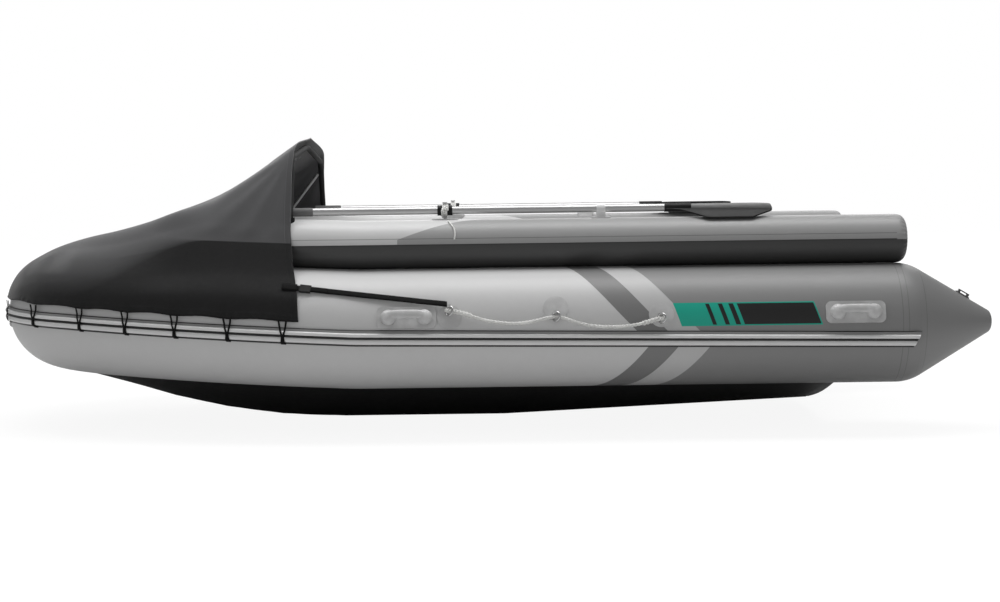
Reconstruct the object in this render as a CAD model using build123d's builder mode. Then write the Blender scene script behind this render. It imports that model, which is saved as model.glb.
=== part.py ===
"""Inflatable boat with a bow hood and two stowed oars, one STEP file per piece.

X points to the bow, Y to port, Z up. The keel's flat run stands on Z = 0. Millimetres.
"""

import os
from math import asin, cos, degrees, hypot, radians, sin, sqrt, tan

from build123d import *

os.makedirs("parts", exist_ok=True)

SIDES = (("port", 1), ("starboard", -1))

# Fits: pieces of one body keep the seat gap, pieces that turn keep the pin gap.
seat_gap = 0.3
pin_gap = 0.05

# Main tube: two straight sides, two shoulder arcs and a nose arc in a plane that rises to the bow.
tube_length = 4200.0
bow_eye_reach = 27.0
tube_radius = 245.0
tube_y = 735.0
tube_z = 438.0
shoulder_radius = 2200.0
shoulder_turn = 30.0
bow_rise_angle = 2.45
cone_length = 400.0
cone_angle = 30.9
cone_bend = 188.0
cone_tip_radius = 30.0
cone_tip_round = 18.0

stern_x = -(tube_length + bow_eye_reach) / 2
bow_x = stern_x + tube_length
cone_x = stern_x + cone_length
shoulder_y = tube_y - shoulder_radius * (1 - cos(radians(shoulder_turn)))
nose_radius = shoulder_y / cos(radians(shoulder_turn))
bow_run = (shoulder_radius - nose_radius) * sin(radians(shoulder_turn)) + nose_radius
axis_tip_x = bow_x - tube_radius
joint_x = axis_tip_x - bow_run * cos(radians(bow_rise_angle))
side_run = joint_x - cone_x
rise = tan(radians(bow_rise_angle))

# Upper side tubes lie on the main tube, a little inboard.
upper_radius = 100.0
upper_inset = 35.0
upper_aft_x = stern_x + 348.0
upper_fore_turn = 13.0
upper_tip_length = 320.0
upper_tip_radius = 22.0
upper_dome = 42.0
upper_y = tube_y - upper_inset
upper_z = tube_z + sqrt((tube_radius + upper_radius + 2 * seat_gap) ** 2 - upper_inset**2)

# Rubbing strake, a double ridge that climbs from the stern to the bow.
strake_half = 32.0
strake_aft_x = stern_x + 355.0
strake_aft_z = tube_z - 52.0
strake_joint_z = tube_z - 19.0
strake_rise_angle = 3.1
strake_proud = 17.0
strake_flange = 5.0

# V bottom, keel guard and transom.
keel_flat_aft = joint_x - 0.2718 * side_run
keel_flat_fore = joint_x + 111.5
keel_fore_radius = 2830.0
keel_aft_z = 58.0
guard_half = 60.0
guard_thick = 8.0
floor_z = tube_z - 154.0
transom_x = stern_x + 655.0
transom_rake = 5.0
transom_thick = 36.0
transom_top_z = tube_z + 0.825 * tube_radius

# Floor boards and benches.
floor_thick = 14.0
floor_joint = 3.0
floor_edge_gap = 6.0
bench_z = tube_z + 0.825 * tube_radius
bench_end_gap = 44.0
bench_thick = 20.0
bench_depth = 220.0

# Oars, rowlocks and clips.
oar_y = upper_y - 20.0
oar_z = upper_z + upper_radius + 38.2
shaft_radius = 16.0
pin_radius = 6.0
collar_radius = 21.0
rowlock_x = joint_x - 0.1649 * side_run
clip_x = rowlock_x - 643.0
grip_fore_x = rowlock_x + 669.0
grip_aft_x = rowlock_x + 543.0
blade_root_x = rowlock_x - 904.0
blade_tip_x = rowlock_x - 1346.0
blade_half = 88.0
blade_bow = 16.0
blade_thick = 6.0
blade_roll = 18.0

# Hood: rear rim, cloth thickness and the ease it keeps off the tubes.
hood_rim_x = bow_x - 1345.0
hood_ease = 12.4
cloth = 4.0
arch_radius = 12.5


def half_width(x, out=0.0):
    """Distance from the centre plane to the tube's axis, moved outward by out."""
    run = (x - joint_x) / cos(radians(bow_rise_angle))
    if run <= 0:
        return tube_y + out
    if run <= (shoulder_radius + out) * sin(radians(shoulder_turn)):
        return tube_y - shoulder_radius + sqrt((shoulder_radius + out) ** 2 - run**2)
    return sqrt(max((nose_radius + out) ** 2 - (run - bow_run + nose_radius) ** 2, 0.0))


def axis_z(x):
    """Height of the main tube's axis."""
    return tube_z + max(x - joint_x, 0.0) * rise


def keel_z(x):
    """Height of the keel guard's underside."""
    if x < keel_flat_aft:
        return keel_aft_z * (keel_flat_aft - x) / (keel_flat_aft - transom_x)
    return max(x - keel_flat_fore, 0.0) ** 2 / (2 * keel_fore_radius)


def save(piece, name):
    """Label a finished piece and write its STEP file."""
    piece.part.label = name
    export_step(piece.part, f"parts/{name}.step")


def tilted(z, angle):
    """Plane through the bow joint at height z that climbs forward at the angle."""
    run, climb = cos(radians(angle)), sin(radians(angle))
    return Plane(origin=(joint_x, 0, z), x_dir=(run, 0, climb), z_dir=(-climb, 0, run))


def radial(x, sign, angle, out=0.0, y=tube_y, z=tube_z):
    """Plane that faces outward from a side tube at an angle above level, out from its axis."""
    outward = (0, sign * cos(radians(angle)), sin(radians(angle)))
    origin = (x, sign * y + out * outward[1], z + out * outward[2])
    return Plane(origin=origin, x_dir=(1, 0, 0), z_dir=outward)


joint_plane = Plane(origin=(joint_x, 0, 0), x_dir=(0, 1, 0), z_dir=(1, 0, 0))
lap = 40.0

with BuildLine() as bow_plan:
    port_lap = Line((-lap, tube_y), (0, tube_y))
    port_arc = JernArc(port_lap @ 1, (1, 0), shoulder_radius, -shoulder_turn)
    nose_arc = JernArc(port_arc @ 1, port_arc % 1, nose_radius, -2 * (90 - shoulder_turn))
    star_arc = JernArc(nose_arc @ 1, nose_arc % 1, shoulder_radius, -shoulder_turn)
    Line(star_arc @ 1, (-lap, -tube_y))
bow_axis = tilted(tube_z, bow_rise_angle).from_local_coords(bow_plan.wire())
bow_start = Plane(origin=bow_axis @ 0, x_dir=(0, 1, 0), z_dir=bow_axis % 0)
strake_axis = tilted(strake_joint_z, strake_rise_angle).from_local_coords(bow_plan.wire())
strake_start = Plane(origin=strake_axis @ 0, x_dir=(0, 1, 0), z_dir=strake_axis % 0)

# The tubes a seat gap larger are taken from everything that lies against them.
with BuildPart() as side_room:
    with BuildSketch(Plane.YZ.offset(strake_aft_x - lap)):
        with Locations((tube_y, tube_z), (-tube_y, tube_z)):
            Circle(tube_radius + seat_gap)
    extrude(amount=joint_x - strake_aft_x + lap)

with BuildPart() as bow_room:
    with BuildSketch(bow_start):
        Circle(tube_radius + seat_gap)
    sweep(path=bow_axis)
    split(bisect_by=joint_plane, keep=Keep.TOP)

with BuildPart() as upper_room:
    with BuildSketch(Plane.YZ.offset(upper_aft_x)):
        with Locations((upper_y, upper_z), (-upper_y, upper_z)):
            Circle(upper_radius + seat_gap)
    extrude(amount=joint_x - upper_aft_x)

with BuildPart() as tube_bow:
    with BuildSketch(bow_start):
        Circle(tube_radius)
    sweep(path=bow_axis)
    split(bisect_by=joint_plane, keep=Keep.TOP)
save(tube_bow, "tube_bow")

upper_plane = tilted(tube_z, bow_rise_angle).offset(upper_z - tube_z)
with BuildLine() as upper_plan:
    upper_lap = Line((-lap, upper_y), (0, upper_y))
    JernArc(upper_lap @ 1, (1, 0), shoulder_radius - upper_inset, -upper_fore_turn)
cones = []
fore_rooms = []

for side, sign in SIDES:
    with BuildPart() as tube_side:
        with BuildSketch(Plane.YZ.offset(cone_x)):
            with Locations((sign * tube_y, tube_z)):
                Circle(tube_radius)
        extrude(amount=joint_x - cone_x)
    save(tube_side, f"tube_{side}")

    cone_plane = Plane(origin=(cone_x, sign * tube_y, tube_z), x_dir=(-1, 0, 0), z_dir=(0, 1, 0))
    with BuildPart() as cone:
        with BuildSketch(cone_plane):
            with BuildLine():
                Line((0, 0), (0, tube_radius))
                bend = JernArc((0, tube_radius), (1, 0), cone_bend, -cone_angle)
                round_x = cone_length - cone_tip_round
                round_r = (bend @ 1).Y - (round_x - (bend @ 1).X) * tan(radians(cone_angle))
                Line((0, 0), (cone_length, 0))
                Polyline((cone_length, 0), (cone_length, cone_tip_radius), (round_x, round_r))
                Line((round_x, round_r), bend @ 1)
            make_face()
        revolve(axis=Axis((cone_x, sign * tube_y, tube_z), (1, 0, 0)))
    save(cone, f"cone_{side}")
    cones.append((sign, cone.part))

    with BuildPart() as upper_tube:
        with BuildSketch(Plane.YZ.offset(upper_aft_x)):
            with Locations((sign * upper_y, upper_z)):
                Circle(upper_radius)
        extrude(amount=joint_x - upper_aft_x)
        fillet(upper_tube.edges().sort_by(Axis.X)[0], upper_dome)
    save(upper_tube, f"upper_tube_{side}")

    fore_path = upper_plane.from_local_coords(upper_plan.wire())
    if sign < 0:
        fore_path = fore_path.mirror(Plane.XZ)
    fore_start = Plane(origin=fore_path @ 0, x_dir=(0, 1, 0), z_dir=fore_path % 0)
    fore_end = Plane(origin=fore_path @ 1, z_dir=fore_path % 1)
    with BuildPart() as upper_fore:
        with BuildSketch(fore_start):
            Circle(upper_radius)
        sweep(path=fore_path)
        with Locations(fore_end.location):
            tip_align = (Align.CENTER, Align.CENTER, Align.MIN)
            Cone(upper_radius, upper_tip_radius, upper_tip_length, align=tip_align)
        split(bisect_by=joint_plane, keep=Keep.TOP)
    save(upper_fore, f"upper_fore_{side}")

    with BuildPart() as fore_room:
        with BuildSketch(fore_start):
            Circle(upper_radius + seat_gap)
        sweep(path=fore_path)
        with Locations(fore_end.location):
            Cone(upper_radius + seat_gap, upper_tip_radius + seat_gap, upper_tip_length, align=tip_align)
    fore_rooms.append(fore_room.part)

# Strake section: a flange whose two round ridges meet in a groove.
strake_root = -14.0
strake_groove = (strake_flange + 3, 2.0, -3.0)
ridge_crests = (12.0, -15.5)


def strake_outline(sign, middle):
    """Closed outline of the strake's section, sign to port or starboard of the middle."""

    def at(out, up):
        return (sign * (middle + out), up)

    groove, groove_top, groove_low = strake_groove
    Polyline(at(strake_root, strake_half), at(strake_flange, strake_half), at(strake_flange, strake_half - 10))
    ThreePointArc(at(strake_flange, strake_half - 10), at(strake_proud, ridge_crests[0]), at(groove, groove_top))
    Line(at(groove, groove_top), at(groove, groove_low))
    ThreePointArc(at(groove, groove_low), at(strake_proud, ridge_crests[1]), at(strake_flange, 4 - strake_half))
    Polyline(
        at(strake_flange, 4 - strake_half), at(strake_flange, -strake_half), at(strake_root, -strake_half),
        at(strake_root, strake_half),
    )


with BuildPart() as strake_bow:
    with BuildSketch(strake_start):
        with BuildLine():
            strake_outline(1, tube_radius)
        make_face()
    sweep(path=strake_axis)
    split(bisect_by=joint_plane, keep=Keep.TOP)
    add(bow_room.part, mode=Mode.SUBTRACT)
save(strake_bow, "strake_bow")

strake_run = Vector(joint_x - strake_aft_x, 0, strake_joint_z - strake_aft_z)
strake_aft = Plane(origin=(strake_aft_x, 0, strake_aft_z), x_dir=(0, 1, 0), z_dir=strake_run)
for side, sign in SIDES:
    with BuildPart() as strake_side:
        with BuildSketch(strake_aft):
            with BuildLine():
                strake_outline(sign, tube_y + tube_radius)
            make_face()
        extrude(amount=strake_run.length + lap)
        split(bisect_by=joint_plane, keep=Keep.BOTTOM)
        add(side_room.part, mode=Mode.SUBTRACT)
    save(strake_side, f"strake_{side}")

# V bottom: straight-sided sections that run into the tubes and are cut back to them.
transom_lean = (cos(radians(transom_rake)), 0, sin(radians(transom_rake)))
transom_face = Plane(origin=(transom_x, 0, 0), x_dir=(0, 1, 0), z_dir=transom_lean)
bow_shares = (0.226, 0.427, 0.613, 0.774, 0.911)
bow_stations = [keel_flat_fore + share * (axis_tip_x - keel_flat_fore) for share in bow_shares]
keel_stations = (transom_x - 60, keel_flat_aft, keel_flat_fore, *bow_stations)

with BuildPart() as hull_bottom:
    for x in keel_stations:
        chine_y = half_width(x) - 40
        chine_z = axis_z(x) - tube_radius + 12
        deck_y = half_width(x) - 150
        keel = keel_z(x) + guard_thick
        flat = min(guard_half, 0.3 * deck_y)
        with BuildSketch(Plane.YZ.offset(x)):
            with BuildLine():
                port_half = [(flat, keel), (chine_y, chine_z), (deck_y, floor_z)]
                star_half = [(-y, z) for y, z in reversed(port_half)]
                Polyline(port_half + star_half, close=True)
            make_face()
    loft(ruled=True)
    split(bisect_by=transom_face, keep=Keep.TOP)
    add(side_room.part, mode=Mode.SUBTRACT)
    add(bow_room.part, mode=Mode.SUBTRACT)
save(hull_bottom, "hull_bottom")

with BuildPart() as keel_guard:
    with BuildSketch(Plane.XZ):
        with BuildLine():
            lower = [(x, keel_z(x)) for x in keel_stations[:-1]]
            upper = [(x, z + guard_thick) for x, z in reversed(lower)]
            Polyline(lower + upper, close=True)
        make_face()
    extrude(amount=guard_half, both=True)
    split(bisect_by=transom_face, keep=Keep.TOP)
save(keel_guard, "keel_guard")

with BuildPart() as transom:
    with BuildSketch(transom_face):
        with BuildLine():
            port_edge = [
                (guard_half, keel_aft_z + 14),
                (tube_y - 85, tube_z - 202),
                (tube_y - 35, tube_z - 138),
                (tube_y - 95, transom_top_z - 50),
                (0.52 * tube_y, transom_top_z),
            ]
            star_edge = [(-y, z) for y, z in reversed(port_edge)]
            Polyline(port_edge + star_edge, close=True)
        make_face()
    extrude(amount=-transom_thick)
    add(side_room.part, mode=Mode.SUBTRACT)
save(transom, "transom")

tube_v = tube_z / cos(radians(transom_rake))
with BuildPart() as transom_holders:
    with BuildSketch(transom_face):
        for _, sign in SIDES:
            with Locations((sign * tube_y, tube_v)):
                Circle(tube_radius + 44)
        with Locations((0, tube_z + 12)):
            Rectangle(2 * (tube_y - 95), 270, mode=Mode.INTERSECT)
    extrude(amount=26)
    add(side_room.part, mode=Mode.SUBTRACT)
save(transom_holders, "transom_holders")

# Motor pads on both faces of the transom: name, face offset, direction, width, height.
pads = (
    ("motor_pad_outer", -transom_thick, -8, 300, 190),
    ("motor_pad_inner", 0.0, 6, 320, 130),
)
for name, offset_out, thick, wide, tall in pads:
    with BuildPart() as pad:
        with BuildSketch(transom_face.offset(offset_out)):
            with Locations((0, transom_top_z - 12 - tall / 2)):
                RectangleRounded(wide, tall, 16)
        extrude(amount=thick)
    save(pad, name)

# Floor boards cut from one outline inside the tubes: name, aft end and fore end as shares of the
# run from the transom to the bow joint. The bow board runs out to the outline's tip.
floor_out = -sqrt(tube_radius**2 - (tube_z - floor_z - floor_thick) ** 2) - floor_edge_gap
floor_y = tube_y + floor_out
floor_aft_x = transom_x + 20
floor_run = joint_x - floor_aft_x
boards = (
    ("floor_aft", 0.0, 0.30),
    ("floor_mid", 0.30, 0.6375),
    ("floor_fore", 0.6375, 0.975),
    ("floor_bow", 0.975, (axis_tip_x - floor_aft_x) / floor_run),
)
for name, aft, fore in boards:
    with BuildPart() as board:
        with BuildSketch(Plane.XY.offset(floor_z)):
            with BuildLine():
                side_line = Line((floor_aft_x, floor_y), (joint_x, floor_y))
                arc_a = JernArc(side_line @ 1, (1, 0), shoulder_radius + floor_out, -shoulder_turn)
                arc_b = JernArc(arc_a @ 1, arc_a % 1, nose_radius + floor_out, -2 * (90 - shoulder_turn))
                arc_c = JernArc(arc_b @ 1, arc_b % 1, shoulder_radius + floor_out, -shoulder_turn)
                Polyline(arc_c @ 1, (floor_aft_x, -floor_y), (floor_aft_x, floor_y))
            make_face()
            with Locations((floor_aft_x + (aft + fore) * floor_run / 2, 0)):
                Rectangle((fore - aft) * floor_run - floor_joint, 2 * tube_y, mode=Mode.INTERSECT)
        extrude(amount=floor_thick)
    save(board, name)

# Benches held at their ends by moulded blocks on the tubes: name, centre.
bench_mid_z = bench_z + bench_thick / 2
bench_half = tube_y - sqrt(tube_radius**2 - (bench_mid_z - tube_z) ** 2) - bench_end_gap
benches = (("bench_fore", joint_x - 0.1674 * side_run), ("bench_aft", joint_x - 0.567 * side_run))
for name, x in benches:
    with BuildPart() as bench:
        with BuildSketch(Plane.XY.offset(bench_z)):
            with Locations((x, 0)):
                RectangleRounded(bench_depth, 2 * bench_half, 24)
        extrude(amount=bench_thick)
    save(bench, name)

with BuildPart() as bench_holders:
    for _, x in benches:
        for _, sign in SIDES:
            with Locations((x, sign * (bench_half + 20), bench_mid_z)):
                Box(170, 110, 76)
    for _, x in benches:
        with Locations((x, 0, bench_mid_z)):
            bench_room = 2 * (bench_half + seat_gap)
            Box(bench_depth, bench_room, bench_thick + 2 * seat_gap, mode=Mode.SUBTRACT)
    add(side_room.part, mode=Mode.SUBTRACT)
save(bench_holders, "bench_holders")

# Oars turn on upright pins that stand on the upper tubes.
crown_z = upper_z + upper_radius
pad_top = crown_z + 4
pin_top = oar_z + collar_radius + 12
for side, sign in SIDES:
    at = (rowlock_x, sign * oar_y)
    with BuildPart() as rowlock:
        with BuildSketch(Plane.XY.offset(pad_top)):
            with Locations(at):
                RectangleRounded(110, 70, 18)
        extrude(amount=-24)
        add(upper_room.part, mode=Mode.SUBTRACT)
        with BuildSketch(Plane.XY.offset(pad_top)):
            with Locations(at):
                Circle(pin_radius)
        extrude(amount=pin_top - pad_top)
        with BuildSketch(Plane.XY.offset(pin_top - 5)):
            with Locations(at):
                Circle(pin_radius + 4)
        extrude(amount=6)
    save(rowlock, f"rowlock_{side}")

    with BuildPart() as shaft:
        with BuildSketch(Plane.YZ.offset(blade_root_x)):
            with Locations((sign * oar_y, oar_z)):
                Circle(shaft_radius)
        extrude(amount=grip_aft_x - blade_root_x)
        with Locations((rowlock_x, sign * oar_y, oar_z)):
            Cylinder(pin_radius + pin_gap, 4 * shaft_radius, mode=Mode.SUBTRACT)
    save(shaft, f"oar_shaft_{side}")

    with BuildPart() as collar:
        with BuildSketch(Plane.YZ.offset(rowlock_x - 30.5)):
            with Locations((sign * oar_y, oar_z)):
                Circle(collar_radius)
                Circle(shaft_radius, mode=Mode.SUBTRACT)
        extrude(amount=61)
        with Locations((rowlock_x, sign * oar_y, oar_z)):
            Cylinder(pin_radius + pin_gap, 4 * shaft_radius, mode=Mode.SUBTRACT)
    save(collar, f"oar_collar_{side}")

    with BuildPart() as grip:
        with BuildSketch(Plane.YZ.offset(grip_aft_x)):
            with Locations((sign * oar_y, oar_z)):
                Circle(shaft_radius + 1.5)
        extrude(amount=grip_fore_x - grip_aft_x)
        fillet(grip.edges().filter_by(GeomType.CIRCLE), 5)
    save(grip, f"oar_grip_{side}")

    # The blade is a slice of a bent sheet, rolled so that its outer edge hangs lower.
    bend_radius = (blade_half**2 + blade_bow**2) / (2 * blade_bow)
    blade_face = Plane(
        origin=(blade_root_x, sign * oar_y, oar_z),
        x_dir=(-1, 0, 0),
        z_dir=(0, sign * sin(radians(blade_roll)), cos(radians(blade_roll))),
    )
    blade_end = Plane(origin=blade_face.origin, x_dir=blade_face.y_dir, z_dir=(-1, 0, 0))
    blade_length = blade_root_x - blade_tip_x
    outline = ((0, 20), (60, 26), (170, blade_half), (355, blade_half), (blade_length, 40))
    with BuildPart() as blade:
        with BuildSketch(blade_face.offset(-40)) as blade_sketch:
            with BuildLine():
                lower_edge = [(x, -y) for x, y in reversed(outline)]
                Polyline(list(outline) + lower_edge, close=True)
            make_face()
            fillet(blade_sketch.vertices().group_by(Axis.X)[-1], 26)
            fillet(blade_sketch.vertices().group_by(Axis.X)[2], 40)
        extrude(amount=80)
        bend_centre = blade_face.from_local_coords((0, 0, -bend_radius))
        bend_end = Plane(origin=bend_centre, x_dir=blade_face.y_dir, z_dir=(-1, 0, 0))
        with BuildSketch(bend_end):
            Circle(bend_radius + blade_thick / 2)
            Circle(bend_radius - blade_thick / 2, mode=Mode.SUBTRACT)
        extrude(amount=blade_length, mode=Mode.INTERSECT)
        with BuildSketch(blade_end):
            Circle(shaft_radius + 2)
        extrude(amount=110)
    save(blade, f"oar_blade_{side}")

with BuildPart() as oar_clips:
    for _, sign in SIDES:
        with BuildSketch(Plane.XY.offset(crown_z + 5)):
            with Locations((clip_x, sign * oar_y)):
                RectangleRounded(78, 56, 12)
        extrude(amount=-20)
        with BuildSketch(Plane.YZ.offset(clip_x - 18.5)):
            with Locations((sign * oar_y, oar_z)):
                Circle(shaft_radius + 5)
                Circle(shaft_radius + seat_gap, mode=Mode.SUBTRACT)
            with Locations((sign * oar_y, oar_z + 30)):
                Rectangle(24, 60, mode=Mode.SUBTRACT)
            with Locations((sign * (oar_y - 30), oar_z + 22)):
                Rectangle(60, 60, mode=Mode.SUBTRACT)
            with Locations((sign * oar_y, (crown_z + oar_z - shaft_radius) / 2)):
                Rectangle(26, oar_z - shaft_radius - crown_z - 1)
        extrude(amount=37)
    add(upper_room.part, mode=Mode.SUBTRACT)
save(oar_clips, "oar_clips")

# Hood sections from the rear rim forward: distance from the bow, crown's share of the half width,
# rise of the crown and of the ridge over the cloth on the main tube. Read from the photograph.
hood_table = (
    (1345.0, 0.654, 483.7, 539.7),
    (1240.5, 0.644, 404.2, 473.2),
    (1086.5, 0.640, 302.6, 354.6),
    (974.5, 0.642, 235.8, 295.8),
    (836.5, 0.626, 199.9, 217.9),
    (686.5, 0.515, 149.5, 157.5),
    (526.5, 0.389, 104.7, 108.7),
    (386.5, 0.313, 70.7, 74.7),
    (246.5, 0.227, 26.7, 30.7),
)
# Round the nose the cloth lies on the tube: shares of its radius ahead of the axis.
hood_nose_shares = (0.425, 0.697, 0.875, 0.955)
cloth_radius = tube_radius + hood_ease
hem_lift = 22.0
upper_end_x = bow_x - 786.5


def strake_z(x):
    """Height of the strake's middle along the bow."""
    return strake_joint_z + (x - joint_x) * tan(radians(strake_rise_angle))


def tube_out(x, z):
    """Half width of the cloth where it lies on the main tube at height z."""
    return half_width(x, sqrt(max(cloth_radius**2 - (z - axis_z(x)) ** 2, 0.0)))


def hood_nose(share):
    """Station and outer points of a hood section round the nose, from the hem up to the ridge."""
    x = axis_tip_x + share * cloth_radius
    hem = strake_z(x) + strake_half + hem_lift
    ridge = axis_z(x) + sqrt(1 - share**2) * cloth_radius - 1
    heights = [hem + part * (ridge - hem) for part in (0.0, 0.3, 0.57, 0.76, 0.89, 0.97)]
    return x, [(tube_out(x, z), z) for z in heights] + [(0.0, ridge)]


def hood_half(back, crown_share, crown_rise, ridge_rise):
    """Station and outer points of a hood section from the hem at the strake up to the ridge."""
    x = bow_x - back
    hem = strake_z(x) + strake_half + hem_lift
    tube_top = axis_z(x) + cloth_radius
    crown = (crown_share * tube_out(x, axis_z(x)), tube_top + crown_rise)
    if x < upper_end_x:
        over = upper_radius + hood_ease
        crease = (half_width(x, over - upper_inset), upper_z + (x - joint_x) * rise)
        turn = radians(40)
        shoulder = (crease[0] - over * (1 - cos(turn)), crease[1] + over * sin(turn))
    else:
        crease_z = axis_z(x) + 0.97 * cloth_radius
        crease = (tube_out(x, crease_z) + 30, crease_z)
        shoulder = (0.6 * crease[0] + 0.4 * crown[0], 0.55 * crease[1] + 0.45 * crown[1])
    hem_y = tube_out(x, hem)
    points = [(hem_y, hem)]
    for share in (0.3, 0.62):
        z = hem + share * (crease[1] - hem)
        pulled = hem_y + share * (crease[0] - hem_y)
        points.append((max(tube_out(x, z), pulled), z))
    return x, points + [crease, shoulder, crown, (0.0, tube_top + ridge_rise)]


def inward(points, depth):
    """Points of a half section moved inward by depth, square to the cloth."""
    moved = []
    for i, (y, z) in enumerate(points):
        before, after = points[max(i - 1, 0)], points[min(i + 1, len(points) - 1)]
        run_y, run_z = after[0] - before[0], after[1] - before[1]
        size = hypot(run_y, run_z)
        moved.append((y - depth * run_z / size if y else 0.0, z + depth * run_y / size))
    return moved


hood_sections = [hood_half(*row) for row in hood_table] + [hood_nose(share) for share in hood_nose_shares]
with BuildPart() as hood:
    for x, outer in hood_sections:
        inner = inward(outer, cloth)
        ring = [(-y, z) for y, z in outer] + outer[-2::-1] + inner + [(-y, z) for y, z in inner[-2::-1]]
        with BuildSketch(Plane.YZ.offset(x)):
            with BuildLine():
                Polyline(ring, close=True)
            make_face()
    loft(ruled=True)
hood_whole = hood.part

# Clear window in the slope ahead of the rim: distance from the rim, length, half width.
window_back = 93.5
window_length = 125.0
window_half = 330.0

with BuildPart() as hood_window:
    add(hood_whole)
    with BuildSketch(Plane.XY.offset(upper_z + upper_radius)):
        with Locations((hood_rim_x + window_back + window_length / 2, 0)):
            Rectangle(window_length, 2 * window_half)
    extrude(amount=600, mode=Mode.INTERSECT)
save(hood_window, "hood_window")

with BuildPart() as hood_cloth:
    add(hood_whole)
    add(hood_window.part, mode=Mode.SUBTRACT)
    add(bow_room.part, mode=Mode.SUBTRACT)
save(hood_cloth, "hood")

# Arch inside the rim, on feet on the upper tubes, with a strut each side.
arch_x = hood_rim_x + 18


def upper_top(x, out):
    """Port point on top of an upper tube under the hood, out from its axis."""
    y = half_width(x) - upper_inset + out
    return Vector(x, y, upper_z + (x - joint_x) * rise + sqrt(upper_radius**2 - out**2))


rim_crown, rim_ridge = (Vector(hood_rim_x, *point) for point in hood_sections[0][1][-2:])
arch_foot = upper_top(arch_x, 39.0) + Vector(0, 0, 14)
foot_y, foot_z = arch_foot.Y, arch_foot.Z
arch_half = [
    (foot_y, foot_z),
    (foot_y, foot_z + 24),
    (rim_crown.Y - 22, rim_crown.Z - 42),
    (0, rim_ridge.Z - 40),
]
arch_points = arch_half + [(-y, z) for y, z in arch_half[-2::-1]]
with BuildPart() as hood_arch:
    with BuildLine(Plane.YZ.offset(arch_x)) as arch_line:
        FilletPolyline(arch_points, radius=(20, 70, 900, 70, 20))
    arch_wire = arch_line.wire()
    with BuildSketch(Plane(origin=arch_wire @ 0, z_dir=arch_wire % 0)):
        Circle(arch_radius)
    sweep(path=arch_wire)
save(hood_arch, "hood_arch")

strut_top = Vector(arch_x + 15, rim_crown.Y - 12, rim_crown.Z - 100)
strut_foot = upper_top(arch_x + 152.5, -19.0) + Vector(0, 0, 15.6)
strut_radius = 8.0
strut_sink = 8.0
with BuildPart() as hood_struts:
    for _, sign in SIDES:
        top = Vector(strut_top.X, sign * strut_top.Y, strut_top.Z)
        low = Vector(strut_foot.X, sign * strut_foot.Y, strut_foot.Z)
        with BuildSketch(Plane(origin=low, z_dir=top - low)):
            Circle(strut_radius)
        extrude(amount=(top - low).length)
save(hood_struts, "hood_struts")

# Loops that lace the hem to the strake, spread evenly round the bow.
loop_count = 15
loop_start = 0.075
loop_half = 6.0
strake_up = tilted(strake_joint_z, strake_rise_angle).z_dir
with BuildPart() as hood_loops:
    for i in range(loop_count):
        along = loop_start + i * (1 - 2 * loop_start) / (loop_count - 1)
        heading = strake_axis % along
        outward = strake_up.cross(heading)
        with BuildSketch(Plane(origin=strake_axis @ along, x_dir=outward, z_dir=heading)):
            with BuildLine():
                face = tube_radius + strake_proud + 0.5
                low = -strake_half - 1
                Polyline(
                    (face, 62), (face + 3, 62), (face + 3, low - 3), (tube_radius + 5, low - 3),
                    (tube_radius + 5, low), (face, low), close=True,
                )
            make_face()
        extrude(amount=loop_half, both=True)
    add(bow_room.part, mode=Mode.SUBTRACT)
save(hood_loops, "hood_loops")

# Carry handles on the tube's outer side: station, angle above level.
handles = ((joint_x - 0.0963 * side_run, 14.2), (joint_x - 0.9087 * side_run, 14.2))
handle_proud = 32.0
with BuildPart() as handle_pads:
    for x, angle in handles:
        for _, sign in SIDES:
            with BuildSketch(radial(x, sign, angle, tube_radius + 5)):
                RectangleRounded(238, 88, 22)
            extrude(amount=-24)
    add(side_room.part, mode=Mode.SUBTRACT)
save(handle_pads, "handle_pads")

# One grip, modelled flat: two domed ends joined by a rounded bar that leaves room for fingers.
grip_reach = 72.0
grip_end = 30.0
grip_bar = 6.5
with BuildPart() as grip_form:
    with BuildSketch():
        with Locations((-grip_reach, 0), (grip_reach, 0)):
            Circle(grip_end)
    extrude(amount=handle_proud)
    fillet(grip_form.faces().filter_by(Axis.Z).group_by(Axis.Z)[-1].edges(), 12)
    with BuildSketch(Plane.YZ.offset(-grip_reach)):
        with Locations((0, handle_proud - grip_bar)):
            Ellipse(2.3 * grip_bar, grip_bar)
    extrude(amount=2 * grip_reach)

with BuildPart() as handle_grips:
    for x, angle in handles:
        for _, sign in SIDES:
            add(grip_form.part.moved(radial(x, sign, angle, tube_radius + 5).location))
save(handle_grips, "handle_grips")

# Ring patches and tilted rings for the grab rope: station, patch lift and ring lift over the axis.
rings = (
    (joint_x - 0.1739 * side_run, 60.0, 80.0),
    (joint_x - 0.3665 * side_run, 91.0, 55.0),
    (joint_x - 0.5572 * side_run, 60.0, 44.0),
)
patch_radius = 50.0
patch_thick = 3.0
ring_radius = 19.0
ring_wire = 3.5
ring_out = 20.0

with BuildPart() as patch_shell:
    for _, sign in SIDES:
        with BuildSketch(Plane.YZ.offset(rings[-1][0] - 100)):
            with Locations((sign * tube_y, tube_z)):
                Circle(tube_radius + patch_thick)
                Circle(tube_radius + seat_gap, mode=Mode.SUBTRACT)
        extrude(amount=rings[0][0] - rings[-1][0] + 200)


def ring_plane(x, lift, sign):
    """Plane of a grab ring, turned half way from the tube to the rope."""
    wall = radial(x, sign, degrees(asin(lift / tube_radius)), tube_radius + ring_out)
    return Plane(origin=wall.origin, x_dir=wall.y_dir, z_dir=Vector(1, 0, 0) + wall.z_dir)


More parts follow.
